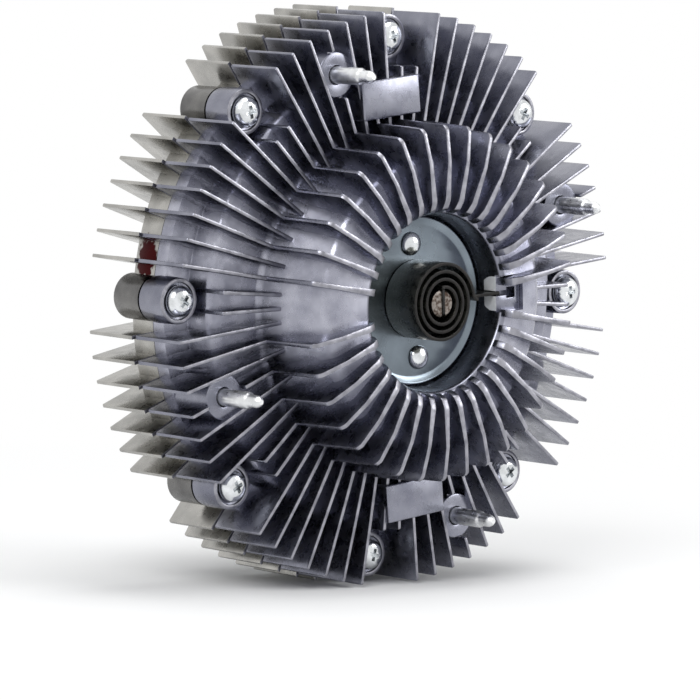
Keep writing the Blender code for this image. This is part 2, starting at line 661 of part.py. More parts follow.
def make_rear_housing():
    """Rear casting: finned back wall, screw bosses and the bearing hub."""
    housing = turned("rear_housing", [
        (0, -SEAT_GAP), (FLANGE_RADIUS, -SEAT_GAP), (FLANGE_RADIUS, REAR_FLANGE_Z),
        (SHOULDER_RADIUS, REAR_WALL_Z), (0, REAR_WALL_Z)], CAST_SEGMENTS, "cast_aluminium")
    housing.rotation_euler.z = math.radians(FIN_PITCH / 2)
    combine(housing, turned("hub", [
        (0, REAR_FACE_Z), (HUB_RADIUS, REAR_FACE_Z), (HUB_RADIUS, HUB_END_Z + HUB_CHAMFER),
        (HUB_RADIUS - HUB_CHAMFER, HUB_END_Z), (0, HUB_END_Z)], BOWL_SEGMENTS), "UNION")
    combine(housing, rear_fins(), "UNION")
    combine(housing, pins(
        "rear_screw_bosses", screw_spots(), SCREW_BOSS_RADIUS,
        -2 * SEAT_GAP, REAR_BOSS_Z, BOSS_SEGMENTS), "UNION")
    seat = BEARING_OUTER_RADIUS + SEAT_GAP
    front_edge = BEARING_CENTRE_Z + BEARING_WIDTH / 2
    rear_edge = BEARING_CENTRE_Z - BEARING_WIDTH / 2 - SEAT_GAP
    combine(housing, turned("housing_inside", [
        (0, 1 * MM), (CHAMBER_RADIUS, 1 * MM), (CHAMBER_RADIUS, REAR_FACE_Z),
        (seat + 2 * MM, REAR_FACE_Z), (seat, front_edge + 1 * MM), (seat, rear_edge),
        (HUB_LIP_RADIUS, rear_edge), (HUB_LIP_RADIUS, HUB_END_Z - 1 * MM),
        (0, HUB_END_Z - 1 * MM)], INNER_SEGMENTS), "DIFFERENCE")
    combine(housing, turned("seal_groove", [
        (SEAL_INNER_RADIUS - SEAT_GAP, 1 * MM), (SEAL_INNER_RADIUS + SEAL_WIDTH + SEAT_GAP, 1 * MM),
        (SEAL_INNER_RADIUS + SEAL_WIDTH + SEAT_GAP, -SEAL_HEIGHT - 2 * SEAT_GAP),
        (SEAL_INNER_RADIUS - SEAT_GAP, -SEAL_HEIGHT - 2 * SEAT_GAP)], INNER_SEGMENTS), "DIFFERENCE")
    combine(housing, pins(
        "rear_screw_holes", screw_spots(), SCREW_RADIUS + SEAT_GAP,
        2 * MM, -SCREW_REACH - SEAT_GAP, SMALL_SEGMENTS), "DIFFERENCE")
    return housing


def make_seal_ring():
    """Square rubber ring in the groove of the joint face."""
    outer = SEAL_INNER_RADIUS + SEAL_WIDTH
    return turned("seal_ring", [
        (SEAL_INNER_RADIUS, -SEAT_GAP), (outer, -SEAT_GAP), (outer, -SEAT_GAP - SEAL_HEIGHT),
        (SEAL_INNER_RADIUS, -SEAT_GAP - SEAL_HEIGHT)], INNER_SEGMENTS, "rubber")


def make_rotor():
    """Drive disc with the lands that shear the fluid, and the hub on the shaft."""
    rim = CHAMBER_RADIUS - ROTOR_GAP_RADIUS
    bore = ROTOR_SEAT_RADIUS + SEAT_GAP
    top = COVER_FACE_Z - RUNNING_GAP
    profile = [(bore, hub_front_z()), (ROTOR_HUB_RADIUS, hub_front_z())]
    profile += [(ROTOR_HUB_RADIUS, ROTOR_WEB_FRONT_Z)]
    for radius in land_radii():
        outer = min(radius + LAND_WIDTH, rim)
        if radius == land_radii()[-1]:
            outer = rim
        profile += [(radius, ROTOR_WEB_FRONT_Z), (radius, top), (outer, top)]
        if outer != rim:
            profile.append((outer, ROTOR_WEB_FRONT_Z))
    hub_rear = BEARING_CENTRE_Z + BEARING_WIDTH / 2 + SEAT_GAP
    profile += [
        (rim, ROTOR_REAR_Z), (ROTOR_HUB_RADIUS, ROTOR_REAR_Z), (ROTOR_HUB_RADIUS, hub_rear),
        (bore, hub_rear)]
    return turned("rotor", profile, INNER_SEGMENTS, "cast_aluminium")


def hub_front_z():
    """Front face of the rotor's hub, under the shaft's staked head."""
    return ROTOR_WEB_FRONT_Z + 1.2 * MM


def make_reservoir_plate():
    """Pressed plate between reservoir and chamber, with the hole the valve arm covers."""
    front = COVER_FACE_Z + RESERVOIR_PLATE_THICKNESS
    plate = turned("reservoir_plate", [
        (0, front), (RESERVOIR_PLATE_RADIUS, front), (RESERVOIR_PLATE_RADIUS, COVER_FACE_Z),
        (0, COVER_FACE_Z)], INNER_SEGMENTS, "zinc_plate")
    combine(plate, pins(
        "fill_hole", [spot(FILL_HOLE_PLACE, ARM_ANGLE)], FILL_HOLE_RADIUS,
        front + 1 * MM, COVER_FACE_Z - 1 * MM, SMALL_SEGMENTS), "DIFFERENCE")
    return plate


def arm_rear_z():
    """Rear face of the valve arm, just clear of the reservoir plate."""
    return COVER_FACE_Z + RESERVOIR_PLATE_THICKNESS + SEAT_GAP


def make_valve_arm():
    """Flat arm on the valve shaft, its round end over the fill hole."""
    half = ARM_WIDTH / 2
    outline = arc_points((ARM_REACH - half, 0), half, -90, 90, 6)
    outline += arc_points((0, 0), half, 90, 270, 6)
    curve_mesh = outline_mesh("valve_arm", outline, ARM_THICKNESS)
    arm = bmesh.new()
    arm.from_mesh(curve_mesh)
    bmesh.ops.rotate(arm, verts=arm.verts, matrix=Matrix.Rotation(-math.pi / 2, 4, "X"))
    bmesh.ops.rotate(arm, verts=arm.verts, matrix=clock(ARM_ANGLE))
    bmesh.ops.translate(arm, verts=arm.verts, vec=(0, 0, arm_rear_z() + ARM_THICKNESS / 2))
    arm.to_mesh(curve_mesh)
    arm.free()
    obj = place(bpy.data.objects.new("valve_arm", curve_mesh), "zinc_plate")
    combine(obj, pins(
        "arm_hole", [(0, 0, 0)], VALVE_SPIGOT_RADIUS + SEAT_GAP,
        BUSH_BOSS_Z, 0, SMALL_SEGMENTS), "DIFFERENCE")
    return obj


def make_valve_shaft():
    """Spindle between coil and arm: slotted nose, ring groove and rear spigot."""
    shoulder = arm_rear_z() + ARM_THICKNESS + SEAT_GAP
    groove = VALVE_SHAFT_RADIUS - RING_GROOVE_DEPTH
    half = RING_GROOVE_WIDTH / 2
    nose = VALVE_SHAFT_RADIUS - 2 * SEAT_GAP
    shaft = turned("valve_shaft", [
        (0, VALVE_SHAFT_FRONT_Z), (nose, VALVE_SHAFT_FRONT_Z),
        (VALVE_SHAFT_RADIUS, VALVE_SHAFT_FRONT_Z - 2 * SEAT_GAP),
        (VALVE_SHAFT_RADIUS, RING_Z + half), (groove, RING_Z + half), (groove, RING_Z - half),
        (VALVE_SHAFT_RADIUS, RING_Z - half), (VALVE_SHAFT_RADIUS, shoulder),
        (VALVE_SPIGOT_RADIUS, shoulder), (VALVE_SPIGOT_RADIUS, arm_rear_z()),
        (0, arm_rear_z())], BOSS_SEGMENTS, "turned_steel")
    combine(shaft, block(
        "coil_slot", coil_start_angle(), -2 * VALVE_SHAFT_RADIUS, 2 * VALVE_SHAFT_RADIUS,
        post_slot_width(), COIL_REAR_Z - SEAT_GAP, VALVE_SHAFT_FRONT_Z + 2 * MM), "DIFFERENCE")
    return shaft


def make_shaft_ring():
    """Rubber ring in the valve shaft's groove."""
    centre = VALVE_SHAFT_RADIUS - RING_GROOVE_DEPTH + SEAT_GAP + RING_WIRE_RADIUS
    section = arc_points((centre, RING_Z), RING_WIRE_RADIUS, 180, -120, 5)
    return turned("shaft_ring", section, BOSS_SEGMENTS, "rubber")


def coil_path():
    """Coil's centre line: across the shaft slot, out along the spiral, then to the post."""
    start_angle = coil_start_angle()
    steps = round(COIL_TURNS * COIL_STEPS_PER_TURN)
    path = [spot(VALVE_SHAFT_RADIUS - COIL_STRIP, start_angle + 180)[:2], (0, 0)]
    for i in range(steps + 1):
        share = i / steps
        radius = COIL_INNER_RADIUS + (COIL_RADIUS - COIL_INNER_RADIUS) * share
        path.append(spot(radius, start_angle + 360 * COIL_TURNS * share)[:2])
    path.append(spot(COIL_TAIL_RADIUS, POST_ANGLE)[:2])
    return path


def make_coil():
    """Two-metal strip wound in a spiral, a thickened open surface."""
    strip = bmesh.new()
    verts = [strip.verts.new((x, y, COIL_REAR_Z)) for x, y in coil_path()]
    edges = [strip.edges.new(pair) for pair in zip(verts, verts[1:])]
    raised = bmesh.ops.extrude_edge_only(strip, edges=edges)["geom"]
    tops = [item for item in raised if isinstance(item, bmesh.types.BMVert)]
    bmesh.ops.translate(strip, verts=tops, vec=(0, 0, COIL_FRONT_Z - COIL_REAR_Z))
    mesh = bpy.data.meshes.new("bimetal_coil")
    strip.to_mesh(mesh)
    strip.free()
    coil = place(bpy.data.objects.new("bimetal_coil", mesh), "black_strip")
    shell = coil.modifiers.new("strip thickness", "SOLIDIFY")
    shell.thickness = COIL_STRIP
    shell.offset = 0
    shell.use_even_offset = True
    combine(coil, block(
        "tail_notch", POST_ANGLE, COIL_RADIUS + 2 * MM, COIL_TAIL_RADIUS + 2 * MM,
        4 * COIL_STRIP, POST_TOP_Z - 1 * MM, COIL_FRONT_Z + 1 * MM), "DIFFERENCE")
    return coil


def make_centre_plate():
    """Zinc-plated disc in the bowl, behind the coil."""
    rear = PLATE_SEAT_Z + SEAT_GAP
    front = rear + CENTRE_PLATE_THICKNESS
    plate = turned("centre_plate", [
        (CENTRE_PLATE_BORE, front), (CENTRE_PLATE_RADIUS, front), (CENTRE_PLATE_RADIUS, rear),
        (CENTRE_PLATE_BORE, rear)], INNER_SEGMENTS, "zinc_plate")
    combine(plate, pins(
        "plate_holes", rivet_spots(), RIVET_RADIUS + SEAT_GAP,
        front + 1 * MM, rear - 1 * MM, SMALL_SEGMENTS), "DIFFERENCE")
    return plate


def make_rivets():
    """Two dome-headed rivets that hold the centre plate."""
    under = PLATE_SEAT_Z + CENTRE_PLATE_THICKNESS + 2 * SEAT_GAP
    dome = [
        (RIVET_HEAD_RADIUS * math.sin(math.radians(t)), RIVET_HEAD_HEIGHT * math.cos(math.radians(t)))
        for t in (0, 30, 60, 90)]
    profile = dome + [
        (RIVET_RADIUS, 0), (RIVET_RADIUS, PLATE_SEAT_Z - RIVET_DEPTH - under),
        (0, PLATE_SEAT_Z - RIVET_DEPTH - under)]
    for i, place_at in enumerate(rivet_spots(under), 1):
        rivet = turned(f"plate_rivet_{i}", profile, SMALL_SEGMENTS, "bright_zinc")
        rivet.location = place_at


def make_screws():
    """Pan-head screws round the flange."""
    under = SCREW_SEAT_Z + SEAT_GAP
    profile = [
        (0, SCREW_HEAD_HEIGHT), (SCREW_HEAD_RADIUS - SCREW_HEAD_ROUND, SCREW_HEAD_HEIGHT),
        (SCREW_HEAD_RADIUS, SCREW_HEAD_HEIGHT - SCREW_HEAD_ROUND), (SCREW_HEAD_RADIUS, 0),
        (SCREW_RADIUS, 0), (SCREW_RADIUS, -SCREW_REACH - under), (0, -SCREW_REACH - under)]
    for i, place_at in enumerate(screw_spots(under), 1):
        screw = turned(f"cover_screw_{i}", profile, SMALL_SEGMENTS, "bright_zinc")
        screw.location = place_at


def make_studs():
    """Studs that carry the fan, each with a slimmer pilot nose."""
    profile = [
        (0, STUD_TIP_Z), (STUD_NOSE_RADIUS * 0.5, STUD_TIP_Z), (STUD_NOSE_RADIUS, STUD_NOSE_END_Z),
        (STUD_NOSE_RADIUS, STUD_SHANK_END_Z), (STUD_RADIUS, STUD_SHANK_END_Z - 0.8 * MM),
        (STUD_RADIUS, STUD_BOSS_Z - STUD_DEPTH), (0, STUD_BOSS_Z - STUD_DEPTH)]
    for i, place_at in enumerate(stud_spots(), 1):
        stud = turned(f"fan_stud_{i}", profile, SMALL_SEGMENTS, "bright_zinc")
        stud.location = place_at


def race_groove(side):
    """Half profile of a race's ball groove, from front to rear: side is 1 outside, -1 inside."""
    groove = BALL_RADIUS + BALL_GAP
    reach = math.degrees(math.acos(RACE_SHOULDER / groove))
    points = arc_points((BALL_CIRCLE_RADIUS, BEARING_CENTRE_Z), groove, reach, -reach, 3)
    if side > 0:
        return points
    return [(2 * BALL_CIRCLE_RADIUS - radius, z) for radius, z in points]


def make_bearing():
    """Deep-groove ball bearing between the shaft and the rear housing."""
    front = BEARING_CENTRE_Z + BEARING_WIDTH / 2
    rear = BEARING_CENTRE_Z - BEARING_WIDTH / 2
    inner_land = BALL_CIRCLE_RADIUS - RACE_SHOULDER
    outer_land = BALL_CIRCLE_RADIUS + RACE_SHOULDER
    turned("bearing_inner_race", [
        (BEARING_BORE_RADIUS, front), (inner_land, front), *race_groove(-1), (inner_land, rear),
        (BEARING_BORE_RADIUS, rear)], BEARING_SEGMENTS, "bearing_steel")
    turned("bearing_outer_race", [
        (outer_land, front), (BEARING_OUTER_RADIUS, front), (BEARING_OUTER_RADIUS, rear),
        (outer_land, rear), *reversed(race_groove(1))], BEARING_SEGMENTS, "bearing_steel")
    inner, outer = BALL_CIRCLE_RADIUS - CAGE_HALF_THICKNESS, BALL_CIRCLE_RADIUS + CAGE_HALF_THICKNESS
    cage_front, cage_rear = BEARING_CENTRE_Z + CAGE_HALF_WIDTH, BEARING_CENTRE_Z - CAGE_HALF_WIDTH
    cage = turned("bearing_cage", [
        (inner, cage_front), (outer, cage_front), (outer, cage_rear), (inner, cage_rear)],
        BALL_COUNT * 2, "brass")
    pockets = bmesh.new()
    for i in range(BALL_COUNT):
        first = len(pockets.verts)
        bmesh.ops.create_cone(
            pockets, cap_ends=True, segments=SMALL_SEGMENTS, radius1=BALL_RADIUS + 1.5 * SEAT_GAP,
            radius2=BALL_RADIUS + 1.5 * SEAT_GAP, depth=4 * CAGE_HALF_THICKNESS,
            matrix=Matrix.Translation((BALL_CIRCLE_RADIUS, 0, BEARING_CENTRE_Z))
            @ Matrix.Rotation(math.pi / 2, 4, "Y"))
        pockets.verts.ensure_lookup_table()
        bmesh.ops.rotate(pockets, verts=pockets.verts[first:], matrix=clock(i * 360 / BALL_COUNT))
    data = bpy.data.meshes.new("cage_pockets")
    pockets.to_mesh(data)
    pockets.free()
    combine(cage, place(bpy.data.objects.new("cage_pockets", data)), "DIFFERENCE")
    ball = bmesh.new()
    bmesh.ops.create_uvsphere(ball, u_segments=8, v_segments=5, radius=BALL_RADIUS)
    ball_mesh = bpy.data.meshes.new("bearing_ball")
    ball.to_mesh(ball_mesh)
    ball.free()
    for i in range(BALL_COUNT):
        obj = bpy.data.objects.new(f"bearing_ball_{i + 1}", ball_mesh.copy())
        place(obj, "bearing_steel").location = spot(
            BALL_CIRCLE_RADIUS, i * 360 / BALL_COUNT, BEARING_CENTRE_Z)
    faces = {"bearing_shield_front": front, "bearing_shield_rear": rear + SHIELD_THICKNESS}
    for name, face in faces.items():
        turned(name, [
            (inner_land + SEAT_GAP, face), (outer_land - SEAT_GAP, face),
            (outer_land - SEAT_GAP, face - SHIELD_THICKNESS),
            (inner_land + SEAT_GAP, face - SHIELD_THICKNESS)], BEARING_SEGMENTS, "rubber")


def make_drive_shaft():
    """Forged shaft: bolting flange, bearing seat, rotor seat and staked front end."""
    neck_front = BEARING_CENTRE_Z - BEARING_WIDTH / 2 - SEAT_GAP
    seat_front = BEARING_CENTRE_Z + BEARING_WIDTH / 2
    journal = BEARING_BORE_RADIUS - SEAT_GAP
    head_rear = hub_front_z() + SEAT_GAP
    flange_front = FLANGE_END_Z + DRIVE_FLANGE_THICKNESS
    shaft = turned("drive_shaft", [
        (0, head_rear + STAKED_HEAD_HEIGHT),
        (STAKED_HEAD_RADIUS - EDGE_CHAMFER, head_rear + STAKED_HEAD_HEIGHT),
        (STAKED_HEAD_RADIUS, head_rear), (ROTOR_SEAT_RADIUS, head_rear),
        (ROTOR_SEAT_RADIUS, seat_front), (journal, seat_front), (journal, neck_front),
        (DRIVE_NECK_RADIUS, neck_front),
        *arc_points(
            (DRIVE_NECK_RADIUS + DRIVE_FILLET, flange_front + DRIVE_FILLET),
            DRIVE_FILLET, 180, 270, 2),
        (DRIVE_FLANGE_RADIUS - EDGE_CHAMFER, flange_front),
        (DRIVE_FLANGE_RADIUS, flange_front - EDGE_CHAMFER),
        (DRIVE_FLANGE_RADIUS, FLANGE_END_Z + EDGE_CHAMFER),
        (DRIVE_FLANGE_RADIUS - EDGE_CHAMFER, FLANGE_END_Z), (0, FLANGE_END_Z)],
        BEARING_SEGMENTS, "turned_steel")
    spots = [
        spot(DRIVE_HOLE_CIRCLE_RADIUS, 45 + i * 360 / DRIVE_HOLE_COUNT) for i in range(DRIVE_HOLE_COUNT)]
    combine(shaft, pins(
        "flange_holes", spots, DRIVE_HOLE_RADIUS,
        flange_front + 2 * MM, FLANGE_END_Z - 2 * MM, BOSS_SEGMENTS), "DIFFERENCE")
    return shaft


def shade_parts():
    """Settle each piece's modifiers into its mesh and shade its round faces smooth."""
    depsgraph = bpy.context.evaluated_depsgraph_get()
    for obj in [item for item in PARTS.objects if item.type == "MESH"]:
        mesh = bpy.data.meshes.new_from_object(obj.evaluated_get(depsgraph))
        mesh.name = obj.name
        clean = bmesh.new()
        clean.from_mesh(mesh)
        bmesh.ops.remove_doubles(clean, verts=clean.verts, dist=MERGE_DISTANCE)
        bmesh.ops.dissolve_limit(
            clean, angle_limit=math.radians(FLAT_ANGLE), verts=clean.verts, edges=clean.edges)
        clean.to_mesh(mesh)
        clean.free()
        mesh.shade_smooth()
        mesh.set_sharp_from_angle(angle=math.radians(SMOOTH_ANGLE))
        obj.modifiers.clear()
        obj.data = mesh


make_front_cover()
make_rear_housing()
make_seal_ring()
make_rotor()
make_reservoir_plate()
make_valve_arm()
make_valve_shaft()
make_shaft_ring()
make_coil()
make_centre_plate()
make_rivets()
make_screws()
make_studs()
make_bearing()
make_drive_shaft()
shade_parts()
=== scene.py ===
# Looks of a viscous fan clutch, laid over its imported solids.
# The file follows the clutch as it goes together on the bench: the rear casting with its bearing,
# shaft and rotor, the front casting with valve, disc and coil, then studs, screws and the studio.
import math
import bmesh
import bpy
from mathutils import Matrix, Vector


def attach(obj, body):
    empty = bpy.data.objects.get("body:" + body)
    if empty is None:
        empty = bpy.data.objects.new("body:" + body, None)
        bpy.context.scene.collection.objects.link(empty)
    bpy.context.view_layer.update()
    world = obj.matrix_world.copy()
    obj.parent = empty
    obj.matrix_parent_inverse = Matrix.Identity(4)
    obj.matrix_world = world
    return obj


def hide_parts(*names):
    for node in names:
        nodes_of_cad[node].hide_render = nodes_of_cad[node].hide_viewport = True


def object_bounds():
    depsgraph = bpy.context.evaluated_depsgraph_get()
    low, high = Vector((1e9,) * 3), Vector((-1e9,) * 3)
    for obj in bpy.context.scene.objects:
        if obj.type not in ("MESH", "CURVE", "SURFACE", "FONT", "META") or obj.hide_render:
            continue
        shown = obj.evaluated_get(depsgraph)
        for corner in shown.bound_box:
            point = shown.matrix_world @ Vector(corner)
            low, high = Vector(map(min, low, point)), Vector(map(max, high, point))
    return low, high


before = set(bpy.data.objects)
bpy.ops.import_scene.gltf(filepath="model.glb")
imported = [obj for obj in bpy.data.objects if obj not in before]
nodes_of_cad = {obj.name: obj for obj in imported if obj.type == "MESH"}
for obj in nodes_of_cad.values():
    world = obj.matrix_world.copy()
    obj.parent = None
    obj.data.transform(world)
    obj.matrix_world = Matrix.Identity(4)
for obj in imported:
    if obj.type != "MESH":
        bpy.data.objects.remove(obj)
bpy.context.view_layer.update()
collection = bpy.context.scene.collection


# Rear casting
# Die-cast aluminium back wall with 72 straight fins, eight tapped bosses and the bearing hub.
# It is cast in one piece, rough from the die, and only its hub and joint face are machined.

MM = 0.001
SEAM = -48.0 * MM
# Shapes are made about Z with the joint face at zero and the front up, then laid along -Y.
LAY_DOWN = Matrix.Translation((0, SEAM, 0)) @ Matrix.Rotation(math.pi / 2, 4, "X")
FIN_PITCH = 5.0
FIN_COUNT = 72
FIN_THICKNESS = 1.2 * MM
FIN_TAPER = 0.006
FIN_DRAFT = 0.008
FIN_EDGE_ROUND = 0.28 * MM
SCREW_SPACING = 45.0
SCREW_ANGLES = [SCREW_SPACING * i for i in range(8)]
SCREW_CIRCLE = 91.7 * MM
# The sizes from here to the first function go into outlines, which are in millimetres.
RIM_ROOT = 91.2
SHORT_FIN_END = 82.0
REAR_FIN_TIP = 102.5
REAR_FIN_CREST = -24.0
REAR_FIN_ROOT = -9.6
REAR_FIN_FACE = -0.6
REAR_FIN_SLOPE = 2.0
REAR_CREST_START = 58.0
REAR_RIB_START = 38.0
REAR_RIB_CREST = -19.0
REAR_BOSS_BACK = -14.0
SCREW_HOLE = 3.3
SCREW_BOSS = 8.0
# Slots of materials on both castings, after the cast skin itself
RUBBED_HIGHLIGHT_SLOT = 1
BOSS_DARK_REFLECTION_SLOT = 2


def at_clock(angle):
    """Turn about Z that carries +X to a clock angle, seen from the front."""
    return Matrix.Rotation(math.radians(90 - angle), 4, "Z")


def clock_point(radius, angle, height=0.0):
    """Point at a radius, a clock angle and a height above the joint face."""
    turn = math.radians(angle)
    return Vector((radius * math.sin(turn), radius * math.cos(turn), height))


def turned(profile, steps, ring=True):
    """Shape spun about Z from (radius, height) points in millimetres."""
    shape = bmesh.new()
    verts = [shape.verts.new((radius * MM, 0, height * MM)) for radius, height in profile]
    edges = [shape.edges.new(pair) for pair in zip(verts, verts[1:])]
    if ring:
        edges.append(shape.edges.new((verts[-1], verts[0])))
    bmesh.ops.spin(
        shape, geom=verts + edges, cent=(0, 0, 0), axis=(0, 0, 1),
        angle=math.tau, steps=steps, use_merge=True)
    bmesh.ops.remove_doubles(shape, verts=shape.verts, dist=0.002 * MM)
    bmesh.ops.recalc_face_normals(shape, faces=shape.faces)
    return shape


def round_off(shape, width, segments=2, sharper_than=25, chosen=None):
    """Round the sharp edges of a shape, or only those that a rule picks."""
    sharp = [
        edge for edge in shape.edges
        if len(edge.link_faces) == 2
        and math.degrees(edge.calc_face_angle(0)) > sharper_than
        and (chosen is None or chosen(edge))]
    bmesh.ops.bevel(
        shape, geom=sharp, offset=width, offset_type="OFFSET", segments=segments,
        profile=0.5, affect="EDGES", material=-1, clamp_overlap=True)


def paint_faces(shape, slot, rule):
    """Give the faces that a rule picks another of the piece's materials."""
    for face in shape.faces:
        if rule(face):
            face.material_index = slot


def add_shape(target, shape, place=None):
    """Copy one shape into another, at a place of its own."""
    spare = bpy.data.meshes.new("spare")
    shape.to_mesh(spare)
    if place is not None:
        spare.transform(place)
    target.from_mesh(spare)
    bpy.data.meshes.remove(spare)


def carved(shape, tool):
    """Cut one closed shape out of another, exactly."""
    meshes = []
    for source in (shape, tool):
        mesh = bpy.data.meshes.new("spare")
        source.to_mesh(mesh)
        meshes.append(mesh)
    stock = bpy.data.objects.new("stock", meshes[0])
    cutter = bpy.data.objects.new("cutter", meshes[1])
    collection.objects.link(stock)
    collection.objects.link(cutter)
    cut = stock.modifiers.new("cut", "BOOLEAN")
    cut.operation = "DIFFERENCE"
    cut.solver = "EXACT"
    cut.object = cutter
    depsgraph = bpy.context.evaluated_depsgraph_get()
    result = bpy.data.meshes.new_from_object(stock.evaluated_get(depsgraph))
    bpy.data.objects.remove(stock, do_unlink=True)
    bpy.data.objects.remove(cutter, do_unlink=True)
    shape.clear()
    shape.from_mesh(result)
    bmesh.ops.dissolve_degenerate(shape, dist=0.004 * MM, edges=shape.edges)
    for mesh in meshes + [result]:
        bpy.data.meshes.remove(mesh)


def finished(name, shape, materials, body, nodes, smooth=32):
    """Lay a shape down on the clutch as a piece that rides on a body."""
    bmesh.ops.transform(shape, verts=shape.verts, matrix=LAY_DOWN)
    mesh = bpy.data.meshes.new(name)
    shape.to_mesh(mesh)
    shape.free()
    mesh.shade_smooth()
    mesh.set_sharp_from_angle(angle=math.radians(smooth))
    for material in materials:
        mesh.materials.append(material)
    piece = bpy.data.objects.new(name, mesh)
    collection.objects.link(piece)
    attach(piece, body)
    if nodes:
        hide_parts(*nodes)
    return piece


def new_finish(name, colour, metallic, roughness):
    """Material with plain values, ready for its own texture."""
    material = bpy.data.materials.new(name)
    material.use_nodes = True
    shader = material.node_tree.nodes["Principled BSDF"]
    shader.inputs["Base Color"].default_value = (*colour, 1)
    shader.inputs["Metallic"].default_value = metallic
    shader.inputs["Roughness"].default_value = roughness
    return material


def cloudy(material, scale, detail=4.0, stretch=(1, 1, 1)):
    """Noise fixed to the piece, at a scale in patches for each metre."""
    nodes, links = material.node_tree.nodes, material.node_tree.links
    where = nodes.new("ShaderNodeTexCoord")
    spread = nodes.new("ShaderNodeMapping")
    spread.inputs["Scale"].default_value = stretch
    noise = nodes.new("ShaderNodeTexNoise")
    noise.inputs["Scale"].default_value = scale
    noise.inputs["Detail"].default_value = detail
    links.new(where.outputs["Object"], spread.inputs["Vector"])
    links.new(spread.outputs["Vector"], noise.inputs["Vector"])
    return noise.outputs["Fac"]


def tool_rings(material, pitch, direction="Y"):
    """Fine turning rings round the clutch's axis, at a pitch in metres."""
    nodes, links = material.node_tree.nodes, material.node_tree.links
    where = nodes.new("ShaderNodeTexCoord")
    rings = nodes.new("ShaderNodeTexWave")
    rings.wave_type = "RINGS"
    rings.rings_direction = direction
    rings.inputs["Scale"].default_value = math.tau / (20 * pitch)
    rings.inputs["Distortion"].default_value = 1.5
    rings.inputs["Detail Scale"].default_value = 3.0
    links.new(where.outputs["Object"], rings.inputs["Vector"])
    return rings.outputs["Fac"]


def tint(material, pattern, dark, light, low=0.35, high=0.65):
    """Colour that runs between two tones with a pattern."""
    nodes, links = material.node_tree.nodes, material.node_tree.links
    ramp = nodes.new("ShaderNodeValToRGB")
    ramp.color_ramp.elements[0].position = low
    ramp.color_ramp.elements[0].color = (*dark, 1)
    ramp.color_ramp.elements[1].position = high
    ramp.color_ramp.elements[1].color = (*light, 1)
    links.new(pattern, ramp.inputs["Fac"])
    links.new(ramp.outputs["Color"], nodes["Principled BSDF"].inputs["Base Color"])
    return ramp.outputs["Color"]


def patchy_gloss(material, pattern, smooth, rough):
    """Roughness that runs between two values with a pattern."""
    nodes, links = material.node_tree.nodes, material.node_tree.links
    span = nodes.new("ShaderNodeMapRange")
    span.inputs["From Min"].default_value = 0.3
    span.inputs["From Max"].default_value = 0.7
    span.inputs["To Min"].default_value = smooth
    span.inputs["To Max"].default_value = rough
    links.new(pattern, span.inputs["Value"])
    links.new(span.outputs["Result"], nodes["Principled BSDF"].inputs["Roughness"])


def relief(material, pattern, depth, strength=1.0):
    """Bump from a pattern, of a depth in metres, on top of what is there."""
    nodes, links = material.node_tree.nodes, material.node_tree.links
    bump = nodes.new("ShaderNodeBump")
    bump.inputs["Strength"].default_value = strength
    bump.inputs["Distance"].default_value = depth
    normal = nodes["Principled BSDF"].inputs["Normal"]
    if normal.links:
        links.new(normal.links[0].from_socket, bump.inputs["Normal"])
    links.new(pattern, bump.inputs["Height"])
    links.new(bump.outputs["Normal"], normal)


def cast_finish(name, dark, light):
    """Aluminium as it leaves the die: cloudy grey, fine-grained, faintly rippled."""
    material = new_finish(name, light, 1.0, 0.3)
    tint(material, cloudy(material, 90, 6), dark, light)
    patchy_gloss(material, cloudy(material, 260, 5), 0.2, 0.36)
    relief(material, cloudy(material, 110, 1), 0.15 * MM, 0.4)
    relief(material, cloudy(material, 1500, 2), 0.01 * MM, 0.3)
    return material


def wear_and_highlight_finish(name, dark, light, metallic=1.0):
    """The same metal made brighter: edges worn by handling and the trimming tool, partly a painted
    highlight.
    """
    material = new_finish(name, light, metallic, 0.34)
    tint(material, cloudy(material, 260, 5), dark, light)
    patchy_gloss(material, cloudy(material, 900, 3), 0.28, 0.46)
    relief(material, cloudy(material, 2400, 2), 0.01 * MM, 0.3)
    return material


def faces_front(face):
    """True for a face that looks to the front, such as a fin's crest."""
    return face.normal.z > 0.6


def fin_plate(outline, tip, crest, corner, fold=None, fold_taper=0.0):
    """One tapered fin over +X, from its (radius, height) outline, tip, crest and fold in millimetres."""
    shape = bmesh.new()
    verts = [shape.verts.new((radius * MM, 0, height * MM)) for radius, height in outline]
    face = shape.faces.new(verts)
    raised = bmesh.ops.extrude_face_region(shape, geom=[face])["geom"]
    far_side = [item for item in raised if isinstance(item, bmesh.types.BMVert)]
    bmesh.ops.translate(shape, verts=far_side, vec=(0, 1, 0))
    bmesh.ops.recalc_face_normals(shape, faces=shape.faces)
    corners = [
        edge for edge in shape.edges
        if abs(edge.verts[0].co.y - edge.verts[1].co.y) > 0.5
        and edge.is_convex and math.degrees(edge.calc_face_angle(0)) > 12
        and abs(edge.verts[0].co.z) > 14 * MM]
    bmesh.ops.bevel(
        shape, geom=corners, offset=corner, offset_type="OFFSET", segments=4, profile=0.5,
        affect="EDGES", material=-1, clamp_overlap=True)
    if fold is not None:
        bmesh.ops.bisect_plane(
            shape, geom=shape.verts[:] + shape.edges[:] + shape.faces[:],
            plane_co=(fold * MM, 0, 0), plane_no=(1, 0, 0), dist=0.001 * MM)
    for vert in shape.verts:
        side = 0.5 if vert.co.y > 0.5 else -0.5
        thickness = FIN_THICKNESS + (tip * MM - vert.co.x) * FIN_TAPER
        thickness += abs(crest * MM - vert.co.z) * FIN_DRAFT
        if fold is not None:
            thickness += max(0.0, fold * MM - vert.co.x) * fold_taper
        vert.co.y = side * thickness
    bmesh.ops.recalc_face_normals(shape, faces=shape.faces)
    round_off(
        shape, FIN_EDGE_ROUND, 2, 40,
        lambda edge: any(abs(face.normal.y) > 0.9 for face in edge.link_faces))
    # Crests that face the front take the brighter finish: partly wear, partly a painted highlight.
    paint_faces(shape, RUBBED_HIGHLIGHT_SLOT, faces_front)
    return shape


